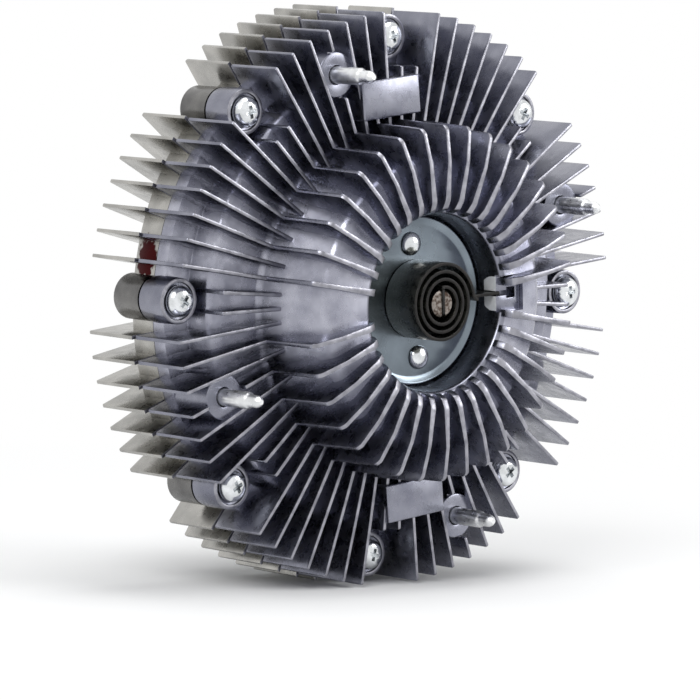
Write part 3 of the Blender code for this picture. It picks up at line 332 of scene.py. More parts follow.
def beside_a_screw(angle):
    """True for the two fins next to a screw, which stop short of its boss."""
    return min(angle % SCREW_SPACING, SCREW_SPACING - angle % SCREW_SPACING) < FIN_PITCH


cast_aluminium = cast_finish("die_cast_aluminium", (0.19, 0.195, 0.24), (0.29, 0.295, 0.345))
# Brighter crests and boss rims: partly wear, partly a painted highlight.
rubbed_and_highlit_aluminium = wear_and_highlight_finish("rubbed_fin_edges_and_painted_highlight", (0.22, 0.22, 0.25), (0.36, 0.36, 0.40))

# Down the bearing's seat, over the chamber and the ring's groove to the rim, and back over the wall
rear = turned([
    (23.2, -37.0), (23.2, -32.2), (26.3, -32.2), (26.3, -15.9), (28.3, -7.1), (76.5, -7.1),
    (76.5, -0.3), (78.3, -0.3), (78.3, -2.5), (81.3, -2.5), (81.3, -0.3), (93.2, -0.3),
    (93.2, -11.3), (81.0, -12.2), (35.4, -12.2), (34.0, -13.6), (34.0, -35.0), (32.0, -37.0)], 144)
round_off(rear, 0.5 * MM)
for i in range(FIN_COUNT):
    angle = (i + 0.5) * FIN_PITCH
    inner = REAR_RIB_START if i % 2 else REAR_CREST_START
    crest_start = max(REAR_CREST_START, inner + REAR_FIN_SLOPE)
    outline = [(inner, REAR_FIN_ROOT), (inner, REAR_RIB_CREST), (crest_start, REAR_FIN_CREST)]
    if beside_a_screw(angle):
        outline += [(SHORT_FIN_END, REAR_FIN_CREST), (SHORT_FIN_END, REAR_FIN_ROOT)]
    else:
        outline += [
            (REAR_FIN_TIP, REAR_FIN_CREST), (REAR_FIN_TIP, REAR_FIN_FACE),
            (RIM_ROOT, REAR_FIN_FACE), (RIM_ROOT, REAR_FIN_ROOT)]
    fin = fin_plate(outline, REAR_FIN_TIP, REAR_FIN_CREST, 0.8 * MM)
    add_shape(rear, fin, at_clock(angle))
    fin.free()
rear_boss = turned([
    (SCREW_HOLE, REAR_FIN_FACE), (SCREW_BOSS, REAR_FIN_FACE), (SCREW_BOSS, REAR_BOSS_BACK),
    (SCREW_HOLE, REAR_BOSS_BACK)], 40)
round_off(rear_boss, 0.7 * MM, 3, 25, lambda edge: edge.verts[0].co.z < -10 * MM)
# Every face of the rear bosses takes a darker skin: a painted dark reflection.
paint_faces(rear_boss, BOSS_DARK_REFLECTION_SLOT, lambda face: True)
for angle in SCREW_ANGLES:
    add_shape(rear, rear_boss, Matrix.Translation(clock_point(SCREW_CIRCLE, angle)))
rear_boss.free()

# A dab of dark red inspection paint on the left of the rim, brushed over fins and flange.
DAB_PLACE = clock_point(93.2 * MM, 278.5, -5.5 * MM)
DAB_REACH = (10 * MM, 6 * MM, 9 * MM)
DAB_RED = (0.045, 0.006, 0.007, 1)
# The rear casting's skin is paler and warmer than the front's: partly its own tone, partly painted warm
# light falling from behind.
rear_cast_with_warm_light = cast_finish("rear_die_cast_aluminium_painted_warm_light", (0.34, 0.335, 0.32), (0.47, 0.46, 0.435))
rear_nodes, rear_links = rear_cast_with_warm_light.node_tree.nodes, rear_cast_with_warm_light.node_tree.links
dab_where = rear_nodes.new("ShaderNodeTexCoord")
dab_spread = rear_nodes.new("ShaderNodeMapping")
dab_spread.vector_type = "TEXTURE"
dab_spread.inputs["Location"].default_value = LAY_DOWN @ DAB_PLACE
dab_spread.inputs["Scale"].default_value = DAB_REACH
dab_ball = rear_nodes.new("ShaderNodeVectorMath")
dab_ball.operation = "LENGTH"
dab_brush = rear_nodes.new("ShaderNodeMath")
dab_brush.operation = "ADD"
dab_edge = rear_nodes.new("ShaderNodeMapRange")
dab_edge.inputs["From Min"].default_value = 1.2
dab_edge.inputs["From Max"].default_value = 1.32
dab_edge.inputs["To Min"].default_value = 1.0
dab_edge.inputs["To Max"].default_value = 0.0
dab_mix = rear_nodes.new("ShaderNodeMix")
dab_mix.data_type = "RGBA"
dab_mix.inputs["B"].default_value = DAB_RED
bare_colour = rear_nodes["Principled BSDF"].inputs["Base Color"].links[0].from_socket
rear_links.new(dab_where.outputs["Object"], dab_spread.inputs["Vector"])
rear_links.new(dab_spread.outputs["Vector"], dab_ball.inputs[0])
rear_links.new(dab_ball.outputs["Value"], dab_brush.inputs[0])
rear_links.new(cloudy(rear_cast_with_warm_light, 330, 4), dab_brush.inputs[1])
rear_links.new(dab_brush.outputs["Value"], dab_edge.inputs["Value"])
rear_links.new(dab_edge.outputs["Result"], dab_mix.inputs["Factor"])
rear_links.new(bare_colour, dab_mix.inputs["A"])
rear_links.new(dab_mix.outputs["Result"], rear_nodes["Principled BSDF"].inputs["Base Color"])
# Dark skin for the bosses, painted reflection of a dark room.
boss_painted_dark_reflection = cast_finish("rear_boss_painted_dark_reflection", (0.12, 0.118, 0.118), (0.21, 0.206, 0.20))
finished(
    "rear_casting", rear, [rear_cast_with_warm_light, rubbed_and_highlit_aluminium, boss_painted_dark_reflection], "housing",
    ["rear_housing"])


# Ball bearing
# A sealed deep-groove bearing of ground steel with a brass cage and two rubber shields.
# It is pressed into the hub of the rear casting; only its rear shield can be seen, past the shaft.

ground_steel = new_finish("ground_bearing_steel", (0.58, 0.59, 0.60), 1.0, 0.2)
tint(ground_steel, cloudy(ground_steel, 300), (0.52, 0.53, 0.54), (0.62, 0.63, 0.64))
patchy_gloss(ground_steel, tool_rings(ground_steel, 0.25 * MM), 0.14, 0.26)
cage_brass = new_finish("pressed_brass", (0.62, 0.46, 0.20), 1.0, 0.35)
tint(cage_brass, cloudy(cage_brass, 250), (0.50, 0.36, 0.15), (0.66, 0.50, 0.24))
patchy_gloss(cage_brass, cloudy(cage_brass, 700), 0.28, 0.45)
shield_rubber = new_finish("moulded_rubber", (0.02, 0.02, 0.02), 0.0, 0.7)
tint(shield_rubber, cloudy(shield_rubber, 500), (0.014, 0.014, 0.014), (0.034, 0.034, 0.033))
relief(shield_rubber, cloudy(shield_rubber, 2600), 0.03 * MM, 0.5)
for name, node in nodes_of_cad.items():
    if name.startswith("bearing_"):
        node.data.materials.clear()
        if "shield" in name:
            node.data.materials.append(shield_rubber)
        elif name == "bearing_cage":
            node.data.materials.append(cage_brass)
        else:
            node.data.materials.append(ground_steel)


# Drive shaft
# Forged steel, turned all over, with a four-hole flange that bolts to the water pump.
# It runs in the bearing, and its front end is staked over the rotor.

BOLT_CIRCLE = 28.5 * MM

turned_steel = new_finish("turned_steel", (0.42, 0.40, 0.37), 1.0, 0.32)
tint(turned_steel, cloudy(turned_steel, 160), (0.34, 0.32, 0.30), (0.46, 0.44, 0.41))
patchy_gloss(turned_steel, cloudy(turned_steel, 500), 0.24, 0.42)
relief(turned_steel, tool_rings(turned_steel, 0.45 * MM), 0.02 * MM, 0.5)
shaft = turned([
    (0, 2.4), (10.8, 2.4), (11.6, 1.2), (10.0, 1.2), (10.0, -16.9), (12.2, -16.9),
    (12.2, -32.2), (15.5, -32.2), (15.5, -37.5), (16.0, -39.5), (17.5, -41.0), (19.5, -41.5),
    (38.0, -41.5), (38.0, -48.0), (0, -48.0)], 96, ring=False)
round_off(shaft, 0.7 * MM, 2, 50, lambda edge: edge.verts[0].co.z < -41 * MM)
bolt_hole = turned([
    (0, -40.0), (6.0, -40.0), (4.2, -42.1), (4.2, -47.4), (6.0, -50.0), (0, -50.0)], 32, ring=False)
for i in range(4):
    drilled = bmesh.new()
    add_shape(drilled, bolt_hole, Matrix.Translation(clock_point(BOLT_CIRCLE, 45 + 90 * i)))
    carved(shaft, drilled)
    drilled.free()
bolt_hole.free()
finished("drive_shaft_forging", shaft, [turned_steel], "drive", ["drive_shaft"])


# Rotor and sealing ring
# The rotor is a cast aluminium disc whose lands shear the oil, clamped on the shaft's end.
# A square rubber ring lies in the rear casting's joint face, and both are shut in by the castings.

rotor_cast = cast_finish("rotor_aluminium", (0.30, 0.30, 0.32), (0.40, 0.40, 0.42))
relief(rotor_cast, tool_rings(rotor_cast, 0.5 * MM), 0.02 * MM, 0.4)
nodes_of_cad["rotor"].data.materials.clear()
nodes_of_cad["rotor"].data.materials.append(rotor_cast)
ring_rubber = new_finish("ring_rubber", (0.025, 0.025, 0.026), 0.0, 0.6)
tint(ring_rubber, cloudy(ring_rubber, 400), (0.018, 0.018, 0.018), (0.040, 0.040, 0.040))
relief(ring_rubber, cloudy(ring_rubber, 1800), 0.03 * MM, 0.4)
for name in ("seal_ring", "shaft_ring"):
    nodes_of_cad[name].data.materials.clear()
    nodes_of_cad[name].data.materials.append(ring_rubber)


# Front casting
# Die-cast aluminium: a drum with a bowl in its face, 72 outer fins of which every second runs up
# the drum, eight screw bosses, four stud bosses, two pads and the slotted post for the coil.

BARE_PLACES = (87.5, 267.5)
STUD_CIRCLE = 84.8 * MM
STUD_ANGLES = [-22.5 + 90 * i for i in range(4)]
PAD_PLACES = (-7.5, 172.5)
PAD_SIZE = (13.6 * MM, 27.0 * MM, 11.6 * MM)
PAD_CENTRE = (71.4 * MM, 0, 19.8 * MM)
PAD_DRAFT = 0.985
POST_ANGLE = 85.3
POST_HEIGHT = 6 * MM
EDGE_ROUND = 1.8 * MM
DRUM_ROUND = 2.8 * MM
FINE_ROUND = 0.5 * MM
DRUM_FIN_TAPER = 0.05
POST_HIGHLIGHT_SLOT = 2
LIT_SKIN_SLOT = 3
# The sizes from here to the next function go into outlines, in millimetres.
LIP_RADIUS = 31.3
DRUM_CORNER_RADIUS = 50.5
DRUM_FOOT_RADIUS = 58.5
SHOULDER_RADIUS = 81.0
BOWL_SHADE_RADIUS = 33.5
FRONT_FIN_TIP = 101.5
FRONT_FIN_CREST = 24.0
FRONT_FIN_ROOT = 2.8
FRONT_FIN_FACE = 0.3
DRUM_FIN_FOLD = 50.0
DRUM_FIN_EDGE = [
    (31.7, 40.0), (31.7, 43.6), (33.2, 46.8), (36.5, 48.3), (50.0, 49.0), (61.0, 47.6), (62.5, 46.1),
    (63.3, 24.0)]
STUD_BOSS_TOP = 22.0
# Plan of the post, with the slot for the strip and the square recess behind it
POST_FLOOR = 34.5
POST_PLAN = [
    (30.2, -6.2), (41.3, -6.2), (41.3, 6.2), (30.2, 6.2), (30.2, 0.85), (35.5, 0.85), (35.5, 1.9),
    (39.3, 1.9), (39.3, -1.9), (35.5, -1.9), (35.5, -0.85), (30.2, -0.85)]


def on_circle(edge, radii, above):
    """True for an edge round the axis at one of some radii in millimetres, above a height."""
    ends = [math.hypot(vert.co.x, vert.co.y) / MM for vert in edge.verts]
    near = any(all(abs(end - radius) < 0.3 for end in ends) for radius in radii)
    return near and all(vert.co.z > above for vert in edge.verts)


def block(size, centre, place=None):
    """Box of a size round a centre, in metres, then laid at a place."""
    shape = bmesh.new()
    bmesh.ops.create_cube(shape, size=1.0)
    bmesh.ops.scale(shape, verts=shape.verts, vec=size)
    bmesh.ops.translate(shape, verts=shape.verts, vec=centre)
    if place is not None:
        bmesh.ops.transform(shape, verts=shape.verts, matrix=place)
    return shape


# Over the bowl's floor and lip, down the drum to the shoulder and the rim, back through the ring's
# groove and the rotor's lands to the reservoir and the valve's bore
front = turned([
    (5.1, 29.0), (29.9, 29.0), (30.6, 35.0), (LIP_RADIUS, 43.0), (DRUM_CORNER_RADIUS, 41.8),
    (DRUM_FOOT_RADIUS, 15.0), (SHOULDER_RADIUS, 15.0), (82.5, 5.6), (93.2, 5.6), (93.2, 0.0),
    (76.5, 0.0), (76.5, 4.0), (70.4, 4.0), (70.4, 0.4), (66.8, 0.4), (66.8, 4.0), (62.4, 4.0),
    (62.4, 0.4), (58.8, 0.4), (58.8, 4.0), (51.95, 4.0), (51.95, 5.5), (49.0, 5.5),
    (48.0, 27.7), (36.5, 33.0), (35.5, 30.5), (33.25, 22.0), (9.0, 22.0), (9.0, 10.0),
    (5.1, 10.0)], 144)
round_off(
    front, DRUM_ROUND, 5, 20, lambda edge: on_circle(edge, (DRUM_CORNER_RADIUS,), 14 * MM))
round_off(
    front, EDGE_ROUND, 4, 20,
    lambda edge: on_circle(edge, (LIP_RADIUS, DRUM_FOOT_RADIUS, SHOULDER_RADIUS), 14 * MM))
round_off(front, FINE_ROUND, 2, 20, lambda edge: edge.verts[0].co.z > 5 * MM)
# Pocket for the post, slot for the strip and square recess, each from a radius to a radius, as wide
# as given and down to a height
for start, end, width, floor_z in (
        (-0.4, 41.6, 13.0, 40.2), (28.0, 35.5, 1.7, 30.9), (35.4, 39.3, 3.8, 36.5)):
    cut = block(
        ((end - start) * MM, width * MM, 20 * MM), ((start + end) / 2 * MM, 0, (floor_z + 10) * MM),
        at_clock(POST_ANGLE))
    carved(front, cut)
    cut.free()
# Outside the bowl the turned body takes a lighter copy of the cast skin: painted light on drum, shoulder
# and flange, while the bowl and fins keep the darker skin as painted shade.
paint_faces(
    front, LIT_SKIN_SLOT, lambda face: face.calc_center_median().xy.length > BOWL_SHADE_RADIUS * MM)

for i in range(FIN_COUNT):
    angle = (i + 0.5) * FIN_PITCH
    tall = i % 2 == 1 and angle not in BARE_PLACES
    outline = list(DRUM_FIN_EDGE) if tall else [(54.0, 22.0), (54.0, FRONT_FIN_CREST)]
    if any(abs((angle - stud + 180) % 360 - 180) < 1 for stud in STUD_ANGLES):
        outline += [(76.3, FRONT_FIN_CREST), (76.3, 21.0), (93.3, 21.0), (93.3, FRONT_FIN_CREST)]
    if beside_a_screw(angle):
        outline += [(SHORT_FIN_END, FRONT_FIN_CREST), (SHORT_FIN_END, FRONT_FIN_ROOT)]
    else:
        outline += [
            (FRONT_FIN_TIP, FRONT_FIN_CREST), (FRONT_FIN_TIP, FRONT_FIN_FACE),
            (RIM_ROOT, FRONT_FIN_FACE), (RIM_ROOT, FRONT_FIN_ROOT)]
    outline.append((56.5, 6.8))
    fin = fin_plate(
        outline, FRONT_FIN_TIP, FRONT_FIN_CREST, 0.7 * MM, DRUM_FIN_FOLD if tall else None,
        DRUM_FIN_TAPER)
    add_shape(front, fin, at_clock(angle))
    fin.free()

screw_boss = turned([
    (SCREW_HOLE, 0.2), (SCREW_HOLE, 11.0), (6.5, 11.0), (6.5, 12.0), (SCREW_BOSS, 12.0), (8.3, 3.0),
    (SCREW_BOSS, 0.2)], 48)
round_off(screw_boss, 0.35 * MM, 2, 40, lambda edge: edge.verts[0].co.z > 10 * MM)
# The top ring of each boss takes the brighter finish: partly wear, partly a painted highlight.
paint_faces(screw_boss, RUBBED_HIGHLIGHT_SLOT, lambda face: face.calc_center_median().z > 11.5 * MM)
for angle in SCREW_ANGLES:
    add_shape(front, screw_boss, Matrix.Translation(clock_point(SCREW_CIRCLE, angle)))
screw_boss.free()
stud_boss = turned([
    (3.3, 10.0), (3.3, STUD_BOSS_TOP), (8.0, STUD_BOSS_TOP), (8.4, FRONT_FIN_ROOT),
    (3.3, FRONT_FIN_ROOT)], 48)
round_off(stud_boss, 0.5 * MM, 3, 40, lambda edge: edge.verts[0].co.z > 20 * MM)
for angle in STUD_ANGLES:
    add_shape(front, stud_boss, Matrix.Translation(clock_point(STUD_CIRCLE, angle)))
stud_boss.free()

pad = block(PAD_SIZE, PAD_CENTRE)
for vert in pad.verts:
    if vert.co.z > 20 * MM:
        vert.co.y *= PAD_DRAFT
round_off(pad, 0.6 * MM, 3)
for angle in PAD_PLACES:
    add_shape(front, pad, at_clock(angle))
pad.free()

post = bmesh.new()
foot = post.faces.new([post.verts.new((x * MM, y * MM, POST_FLOOR * MM)) for x, y in POST_PLAN])
grown = bmesh.ops.extrude_face_region(post, geom=[foot])["geom"]
post_top = [item for item in grown if isinstance(item, bmesh.types.BMVert)]
bmesh.ops.translate(post, verts=post_top, vec=(0, 0, POST_HEIGHT))
bmesh.ops.recalc_face_normals(post, faces=post.faces)
round_off(post, 0.3 * MM, 2, 40, lambda edge: max(v.co.z for v in edge.verts) > 40 * MM)
# The post's inner face is painted pale: a painted highlight from the lamp on its left.
paint_faces(
    post, POST_HIGHLIGHT_SLOT, lambda face: face.normal.x < -0.8 and face.calc_center_median().x < 31 * MM)
add_shape(front, post, at_clock(POST_ANGLE))
post.free()
# Pale, half-metallic finish that stands for the highlight on the post's inner face.
post_face_highlight = wear_and_highlight_finish("post_face_painted_highlight", (0.72, 0.73, 0.75), (0.88, 0.89, 0.91), 0.35)
# Lighter copy of the cast skin, painted light.
painted_light_cast = cast_finish("die_cast_aluminium_painted_light", (0.28, 0.285, 0.345), (0.46, 0.465, 0.535))
finished(
    "front_casting", front, [cast_aluminium, rubbed_and_highlit_aluminium, post_face_highlight, painted_light_cast], "housing",
    ["front_cover"])


# Valve
# A steel spindle turned by the coil swings a flat arm over the fill hole of the reservoir plate.
# Only the spindle's slotted nose, staked over the coil's inner end, is in sight in the bowl.

COIL_TURNS = 3.25
COIL_START = POST_ANGLE - 360 * COIL_TURNS
SPINDLE_SLOT = 1.7 * MM
# In millimetres, for the outline
SPINDLE_RADIUS = 4.8
SPINDLE_NOSE = 45.9

valve_steel = new_finish("worn_valve_steel", (0.50, 0.44, 0.39), 1.0, 0.3)
tint(valve_steel, cloudy(valve_steel, 700), (0.07, 0.05, 0.04), (0.26, 0.235, 0.215), 0.38, 0.6)
patchy_gloss(valve_steel, cloudy(valve_steel, 1200), 0.2, 0.42)
relief(valve_steel, cloudy(valve_steel, 900), 0.10 * MM, 0.5)
spindle = turned([
    (0, SPINDLE_NOSE), (4.1, SPINDLE_NOSE), (SPINDLE_RADIUS, 45.2), (SPINDLE_RADIUS, 19.0),
    (3.2, 19.0), (3.2, 17.0), (SPINDLE_RADIUS, 17.0), (SPINDLE_RADIUS, 7.3), (3.0, 7.3), (3.0, 5.5),
    (0, 5.5)], 48, ring=False)
slot_cutter = block(
    (20 * MM, SPINDLE_SLOT, 20 * MM), (0, 0, 40.9 * MM), at_clock(COIL_START))
carved(spindle, slot_cutter)
slot_cutter.free()
finished("valve_spindle", spindle, [valve_steel], "valve", ["valve_shaft"])
pressed_zinc = new_finish("pressed_zinc_plate", (0.42, 0.46, 0.48), 1.0, 0.3)
tint(pressed_zinc, cloudy(pressed_zinc, 120), (0.34, 0.38, 0.40), (0.46, 0.50, 0.52))
patchy_gloss(pressed_zinc, cloudy(pressed_zinc, 600), 0.24, 0.4)
for name in ("valve_arm", "reservoir_plate"):
    nodes_of_cad[name].data.materials.clear()
    nodes_of_cad[name].data.materials.append(pressed_zinc)


# Disc in the bowl and its rivets
# A stamped steel disc, zinc-plated to a bluish sheen, lies on the bowl's floor behind the coil.
# Two dome-headed rivets hold it, above and below the coil.

RIVET_CIRCLE = 20.2 * MM
RIVET_SEAT = 31.1 * MM
RIVET_PLACES = [clock_point(RIVET_CIRCLE, angle, RIVET_SEAT) for angle in (-8.0, 172.0)]
# In millimetres, for the outlines
RIVET_RADIUS = 4.2
RIVET_HEIGHT = 2.4
DISC_BORE = 5.6
DISC_RADIUS = 29.3
DISC_FACE = 30.8
DISC_BACK = 29.3
DISC_LIP = 31.8

bluish_zinc = new_finish("bluish_zinc_disc", (0.28, 0.33, 0.37), 1.0, 0.22)
tint(bluish_zinc, cloudy(bluish_zinc, 45, 4), (0.11, 0.13, 0.15), (0.23, 0.27, 0.31), 0.3, 0.7)
patchy_gloss(bluish_zinc, cloudy(bluish_zinc, 120, 3), 0.18, 0.3)
relief(bluish_zinc, cloudy(bluish_zinc, 60, 1), 0.2 * MM, 0.3)
disc = turned([
    (DISC_BORE, DISC_FACE), (6.4, DISC_FACE), (26.4, DISC_FACE), (26.8, DISC_FACE), (27.8, 31.1),
    (28.9, DISC_LIP), (DISC_RADIUS, DISC_LIP), (DISC_RADIUS, DISC_BACK), (DISC_BORE, DISC_BACK)], 128)
round_off(disc, 0.15 * MM, 2)
rivet_hole = turned([(0, 33.0), (2.3, 33.0), (2.3, 27.0), (0, 27.0)], 24, ring=False)
for place in RIVET_PLACES:
    punched = bmesh.new()
    add_shape(punched, rivet_hole, Matrix.Translation((place.x, place.y, 0)))
    carved(disc, punched)
    punched.free()
rivet_hole.free()
finished("bowl_disc", disc, [bluish_zinc], "housing", ["centre_plate"])

hardware_zinc = new_finish("bright_zinc", (0.70, 0.72, 0.74), 1.0, 0.2)
tint(hardware_zinc, cloudy(hardware_zinc, 260), (0.60, 0.62, 0.63), (0.80, 0.82, 0.84))
patchy_gloss(hardware_zinc, cloudy(hardware_zinc, 400, 2), 0.12, 0.22)
relief(hardware_zinc, cloudy(hardware_zinc, 350, 1), 0.004 * MM, 0.2)
for i, place in enumerate(RIVET_PLACES, 1):
    dome = [
        (RIVET_RADIUS * math.sin(math.radians(t)), RIVET_HEIGHT * math.cos(math.radians(t)))
        for t in range(0, 91, 9)]
    rivet = turned(dome + [(2.0, 0), (2.0, -5.3), (0, -5.3)], 40, ring=False)
    bmesh.ops.translate(rivet, verts=rivet.verts, vec=place)
    finished(f"rivet_{i}", rivet, [hardware_zinc], "housing", [f"plate_rivet_{i}"])


# Bimetal coil
# A flat strip of two bonded metals, blackened, wound in a spiral of a little over three turns.
# Its inner end sits in the spindle's slot and its outer end in the slotted post.

COIL_OUTER = 14.6 * MM
COIL_INNER = 5.8 * MM
COIL_STRIP = 1.1 * MM
COIL_BACK = 31.2 * MM
COIL_FRONT = 46.2 * MM
TAIL_FRONT = 39.5 * MM
TAIL_START = 15.6 * MM
TAIL_STEP = 16.6 * MM
TAIL_STEP_RUN = 0.05 * MM
TAIL_MIDDLE = 24 * MM
TAIL_END = 33.0 * MM
SLOT_REACH = 3.7 * MM
STRIP_ROUND = 0.12 * MM
STEPS_PER_TURN = 72

strip_face = new_finish("oiled_strip_face", (0.12, 0.125, 0.115), 1.0, 0.3)
tint(strip_face, cloudy(strip_face, 110, 2, (1, 0.25, 1)), (0.10, 0.105, 0.095), (0.18, 0.18, 0.165))
patchy_gloss(strip_face, cloudy(strip_face, 500), 0.2, 0.38)
strip_edge = new_finish("sheared_strip_edge", (0.03, 0.025, 0.022), 0.6, 0.45)
tint(strip_edge, cloudy(strip_edge, 300), (0.004, 0.004, 0.004), (0.012, 0.010, 0.009))
patchy_gloss(strip_edge, cloudy(strip_edge, 900), 0.35, 0.55)
strip = bmesh.new()
path = [clock_point(SPINDLE_RADIUS * MM + 0.15 * MM, COIL_START)]
steps = round(COIL_TURNS * STEPS_PER_TURN)
for i in range(steps):
    share = i / steps
    radius = COIL_INNER + (COIL_OUTER - COIL_INNER) * share
    path.append(clock_point(radius, COIL_START + 360 * COIL_TURNS * share))
for radius in (TAIL_START, TAIL_STEP, TAIL_STEP + TAIL_STEP_RUN, TAIL_MIDDLE, TAIL_END):
    path.append(clock_point(radius, POST_ANGLE))
line = [strip.verts.new((point.x, point.y, COIL_BACK)) for point in path]
runs = [strip.edges.new(pair) for pair in zip(line, line[1:])]
upper = [
    item for item in bmesh.ops.extrude_edge_only(strip, edges=runs)["geom"]
    if isinstance(item, bmesh.types.BMVert)]
for vert in upper:
    on_tail = math.hypot(vert.co.x, vert.co.y) > TAIL_STEP + 0.01 * MM
    vert.co.z = TAIL_FRONT if on_tail else COIL_FRONT
coil = finished(
    "bimetal_spiral", strip, [strip_face, strip_edge], "housing", ["bimetal_coil"])
thickness = coil.modifiers.new("strip thickness", "SOLIDIFY")
thickness.thickness = COIL_STRIP
thickness.offset = 0
thickness.use_even_offset = True
thickness.material_offset_rim = 1
soft_edge = coil.modifiers.new("rolled edge", "BEVEL")
soft_edge.width = STRIP_ROUND
soft_edge.segments = 2
soft_edge.limit_method = "ANGLE"
soft_edge.angle_limit = math.radians(50)

# The strip's inner end lies in the spindle's slot and turns with it.
inner_end = block(
    (SLOT_REACH + SPINDLE_RADIUS * MM, COIL_STRIP, COIL_FRONT - COIL_BACK),
    ((SPINDLE_RADIUS * MM - SLOT_REACH) / 2, 0, (COIL_FRONT + COIL_BACK) / 2),
    at_clock(COIL_START))
round_off(inner_end, STRIP_ROUND, 2, 50)
paint_faces(inner_end, 1, faces_front)
finished("bimetal_inner_end", inner_end, [strip_face, strip_edge], "valve", [])


# Fan studs
# Four zinc-plated steel studs pressed into their bosses, each with a slimmer nose that leads the
# fan on. They are turned from bar.

# In millimetres, for the outline
STUD_RADIUS = 3.0
STUD_NOSE_RADIUS = 2.2
STUD_TIP = 41.5
STUD_BACK = 10.0

stud_zinc = new_finish("satin_stud_zinc", (0.78, 0.79, 0.80), 1.0, 0.3)
tint(stud_zinc, cloudy(stud_zinc, 240), (0.68, 0.69, 0.70), (0.84, 0.85, 0.86))
patchy_gloss(stud_zinc, cloudy(stud_zinc, 500, 2), 0.26, 0.36)
for i, angle in enumerate(STUD_ANGLES, 1):
    stud = turned([
        (0, STUD_TIP), (0.9, STUD_TIP), (1.7, 40.6), (STUD_NOSE_RADIUS, 39.4),
        (STUD_NOSE_RADIUS, 36.2), (2.6, 35.5), (STUD_RADIUS, 34.7), (STUD_RADIUS, STUD_BACK),
        (0, STUD_BACK)], 48, ring=False)
    bmesh.ops.translate(stud, verts=stud.verts, vec=clock_point(STUD_CIRCLE, angle))
    finished(f"stud_{i}", stud, [stud_zinc], "housing", [f"fan_stud_{i}"])


# Cover screws
# Eight pan-head screws with a cross recess, steel with bright zinc plating.
# They clamp the two castings together, and each stopped at its own angle.

CROSS_TURNS = (20, 65, 8, 41, 77, 30, 55, 12)
CROSS_ARM = (5.6 * MM, 1.5 * MM, 3.2 * MM)
CROSS_HEIGHT = 3.4 * MM
# In millimetres, for the outline
SCREW_SEAT = 11.3
SCREW_HEAD = 3.8
SCREW_RADIUS = 3.0
SCREW_END = -10.5 - SCREW_SEAT

for i, angle in enumerate(SCREW_ANGLES, 1):
    screw = turned([
        (0, SCREW_HEAD), (2.9, SCREW_HEAD), (4.1, 3.45), (5.0, 2.6), (5.4, 1.5), (5.4, 0.1), (5.3, 0),
        (SCREW_RADIUS, 0), (SCREW_RADIUS, SCREW_END), (0, SCREW_END)], 48, ring=False)
    for j in range(2):
        recess = block(CROSS_ARM, (0, 0, 0))
        # Each arm of the cross narrows towards its floor.
        for vert in recess.verts:
            if vert.co.z < 0:
                vert.co.x *= 0.45
                vert.co.y *= 0.8
        bmesh.ops.translate(recess, verts=recess.verts, vec=(0, 0, CROSS_HEIGHT))
        cross_turn = math.radians(CROSS_TURNS[i - 1] + 90 * j)
        bmesh.ops.transform(
            recess, verts=recess.verts, matrix=Matrix.Rotation(cross_turn, 4, "Z"))
        carved(screw, recess)
        recess.free()
    bmesh.ops.translate(
        screw, verts=screw.verts, vec=clock_point(SCREW_CIRCLE, angle, SCREW_SEAT * MM))
    finished(f"screw_{i}", screw, [hardware_zinc], "housing", [f"cover_screw_{i}"])


# Studio
# A pale floor under the clutch, large soft lamps and the camera at the photograph's angle.

FLOOR_SIZE = 12.0
PAPER_NEAR = 0.12
PAPER_FAR = 0.45
LAMP_AIM = (0, -0.07, 0)
CAMERA_LENS = 271.7822587
CAMERA_PLACE = (-1.25085827, -1.44023392, 0.12888217)
CAMERA_TURN = (85.4456379, -2.1415586, -41.7299541)

floor_mesh = bpy.data.meshes.new("studio_floor")
floor_shape = bmesh.new()
bmesh.ops.create_grid(floor_shape, x_segments=4, y_segments=4, size=FLOOR_SIZE)
bmesh.ops.translate(floor_shape, verts=floor_shape.verts, vec=(0, 0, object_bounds()[0][2]))
floor_shape.to_mesh(floor_mesh)
floor_shape.free()
floor = bpy.data.objects.new("studio_floor", floor_mesh)
collection.objects.link(floor)
paper = new_finish("white_paper", (0.9, 0.9, 0.9), 0.0, 0.9)
paper_nodes, paper_links = paper.node_tree.nodes, paper.node_tree.links
paper_where = paper_nodes.new("ShaderNodeTexCoord")
paper_reach = paper_nodes.new("ShaderNodeVectorMath")
paper_reach.operation = "LENGTH"
paper_fade = paper_nodes.new("ShaderNodeMapRange")
paper_fade.inputs["From Min"].default_value = PAPER_NEAR
paper_fade.inputs["From Max"].default_value = PAPER_FAR
paper_glow = paper_nodes.new("ShaderNodeEmission")
paper_glow.inputs["Strength"].default_value = 1.0
paper_rays = paper_nodes.new("ShaderNodeLightPath")
paper_seen = paper_nodes.new("ShaderNodeMath")
paper_seen.operation = "MAXIMUM"
paper_share = paper_nodes.new("ShaderNodeMath")
paper_share.operation = "MULTIPLY"
paper_mix = paper_nodes.new("ShaderNodeMixShader")
paper_links.new(paper_where.outputs["Object"], paper_reach.inputs[0])
paper_links.new(paper_reach.outputs["Value"], paper_fade.inputs["Value"])
paper_links.new(paper_rays.outputs["Is Camera Ray"], paper_seen.inputs[0])
paper_links.new(paper_rays.outputs["Is Glossy Ray"], paper_seen.inputs[1])
paper_links.new(paper_fade.outputs["Result"], paper_share.inputs[0])
paper_links.new(paper_seen.outputs["Value"], paper_share.inputs[1])
paper_links.new(paper_share.outputs["Value"], paper_mix.inputs["Fac"])
paper_links.new(paper_nodes["Principled BSDF"].outputs["BSDF"], paper_mix.inputs[1])
paper_links.new(paper_glow.outputs["Emission"], paper_mix.inputs[2])
paper_links.new(paper_mix.outputs["Shader"], paper_nodes["Material Output"].inputs["Surface"])
floor_mesh.materials.append(paper)

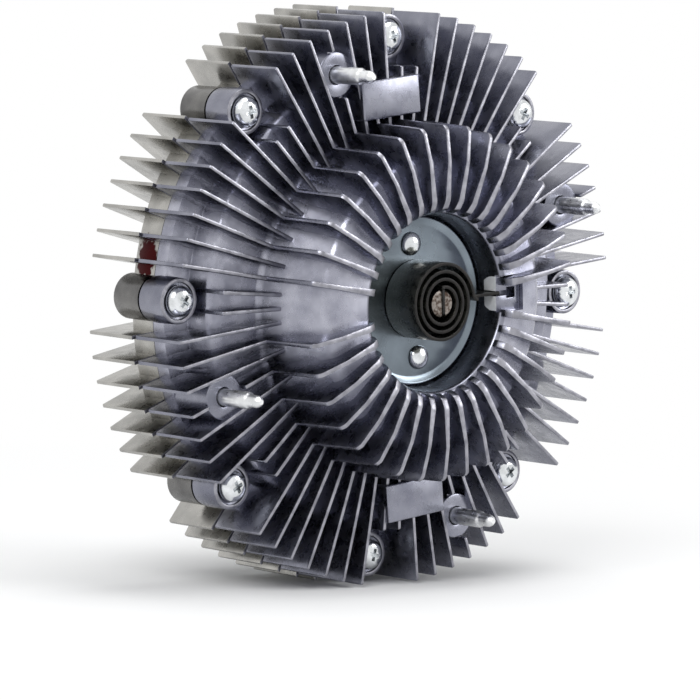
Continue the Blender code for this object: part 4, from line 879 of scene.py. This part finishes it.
world = bpy.data.worlds.new("studio_white")
world.use_nodes = True
bpy.context.scene.world = world
sky_nodes, sky_links = world.node_tree.nodes, world.node_tree.links
fill = sky_nodes["Background"]
fill.inputs["Color"].default_value = (0.96, 0.98, 1.0, 1)
fill.inputs["Strength"].default_value = 0.45
white = sky_nodes.new("ShaderNodeBackground")
white.inputs["Color"].default_value = (1, 1, 1, 1)
white.inputs["Strength"].default_value = 1.0
sky_rays = sky_nodes.new("ShaderNodeLightPath")
sky_seen = sky_nodes.new("ShaderNodeMath")
sky_seen.operation = "MAXIMUM"
sky_also = sky_nodes.new("ShaderNodeMath")
sky_also.operation = "MAXIMUM"
sky_mix = sky_nodes.new("ShaderNodeMixShader")
sky_links.new(sky_rays.outputs["Is Camera Ray"], sky_seen.inputs[0])
sky_links.new(sky_rays.outputs["Is Glossy Ray"], sky_seen.inputs[1])
sky_links.new(sky_seen.outputs["Value"], sky_also.inputs[0])
sky_links.new(sky_rays.outputs["Is Transmission Ray"], sky_also.inputs[1])
sky_links.new(sky_also.outputs["Value"], sky_mix.inputs["Fac"])
sky_links.new(fill.outputs["Background"], sky_mix.inputs[1])
sky_links.new(white.outputs["Background"], sky_mix.inputs[2])
sky_links.new(sky_mix.outputs["Shader"], sky_nodes["World Output"].inputs["Surface"])


def soft_lamp(name, place, width, height, power):
    """Large rectangular lamp that faces the clutch."""
    data = bpy.data.lights.new(name, "AREA")
    data.shape = "RECTANGLE"
    data.size = width
    data.size_y = height
    data.energy = power
    lamp = bpy.data.objects.new(name, data)
    lamp.location = place
    lamp.rotation_euler = (Vector(LAMP_AIM) - Vector(place)).to_track_quat("-Z", "Y").to_euler()
    collection.objects.link(lamp)


soft_lamp("key_lamp", (-1.6, -0.9, 1.5), 1.2, 1.2, 26)
soft_lamp("top_lamp", (0.3, -0.2, 1.9), 1.4, 1.0, 17)
soft_lamp("side_lamp", (1.5, -1.4, 0.7), 0.9, 0.9, 15)

camera_data = bpy.data.cameras.new("photograph_view")
camera_data.lens = CAMERA_LENS
camera_data.sensor_width = 36
camera = bpy.data.objects.new("photograph_view", camera_data)
camera.location = CAMERA_PLACE
camera.rotation_euler = [math.radians(angle) for angle in CAMERA_TURN]
collection.objects.link(camera)
bpy.context.scene.camera = camera
bpy.context.scene.view_settings.view_transform = "Standard"
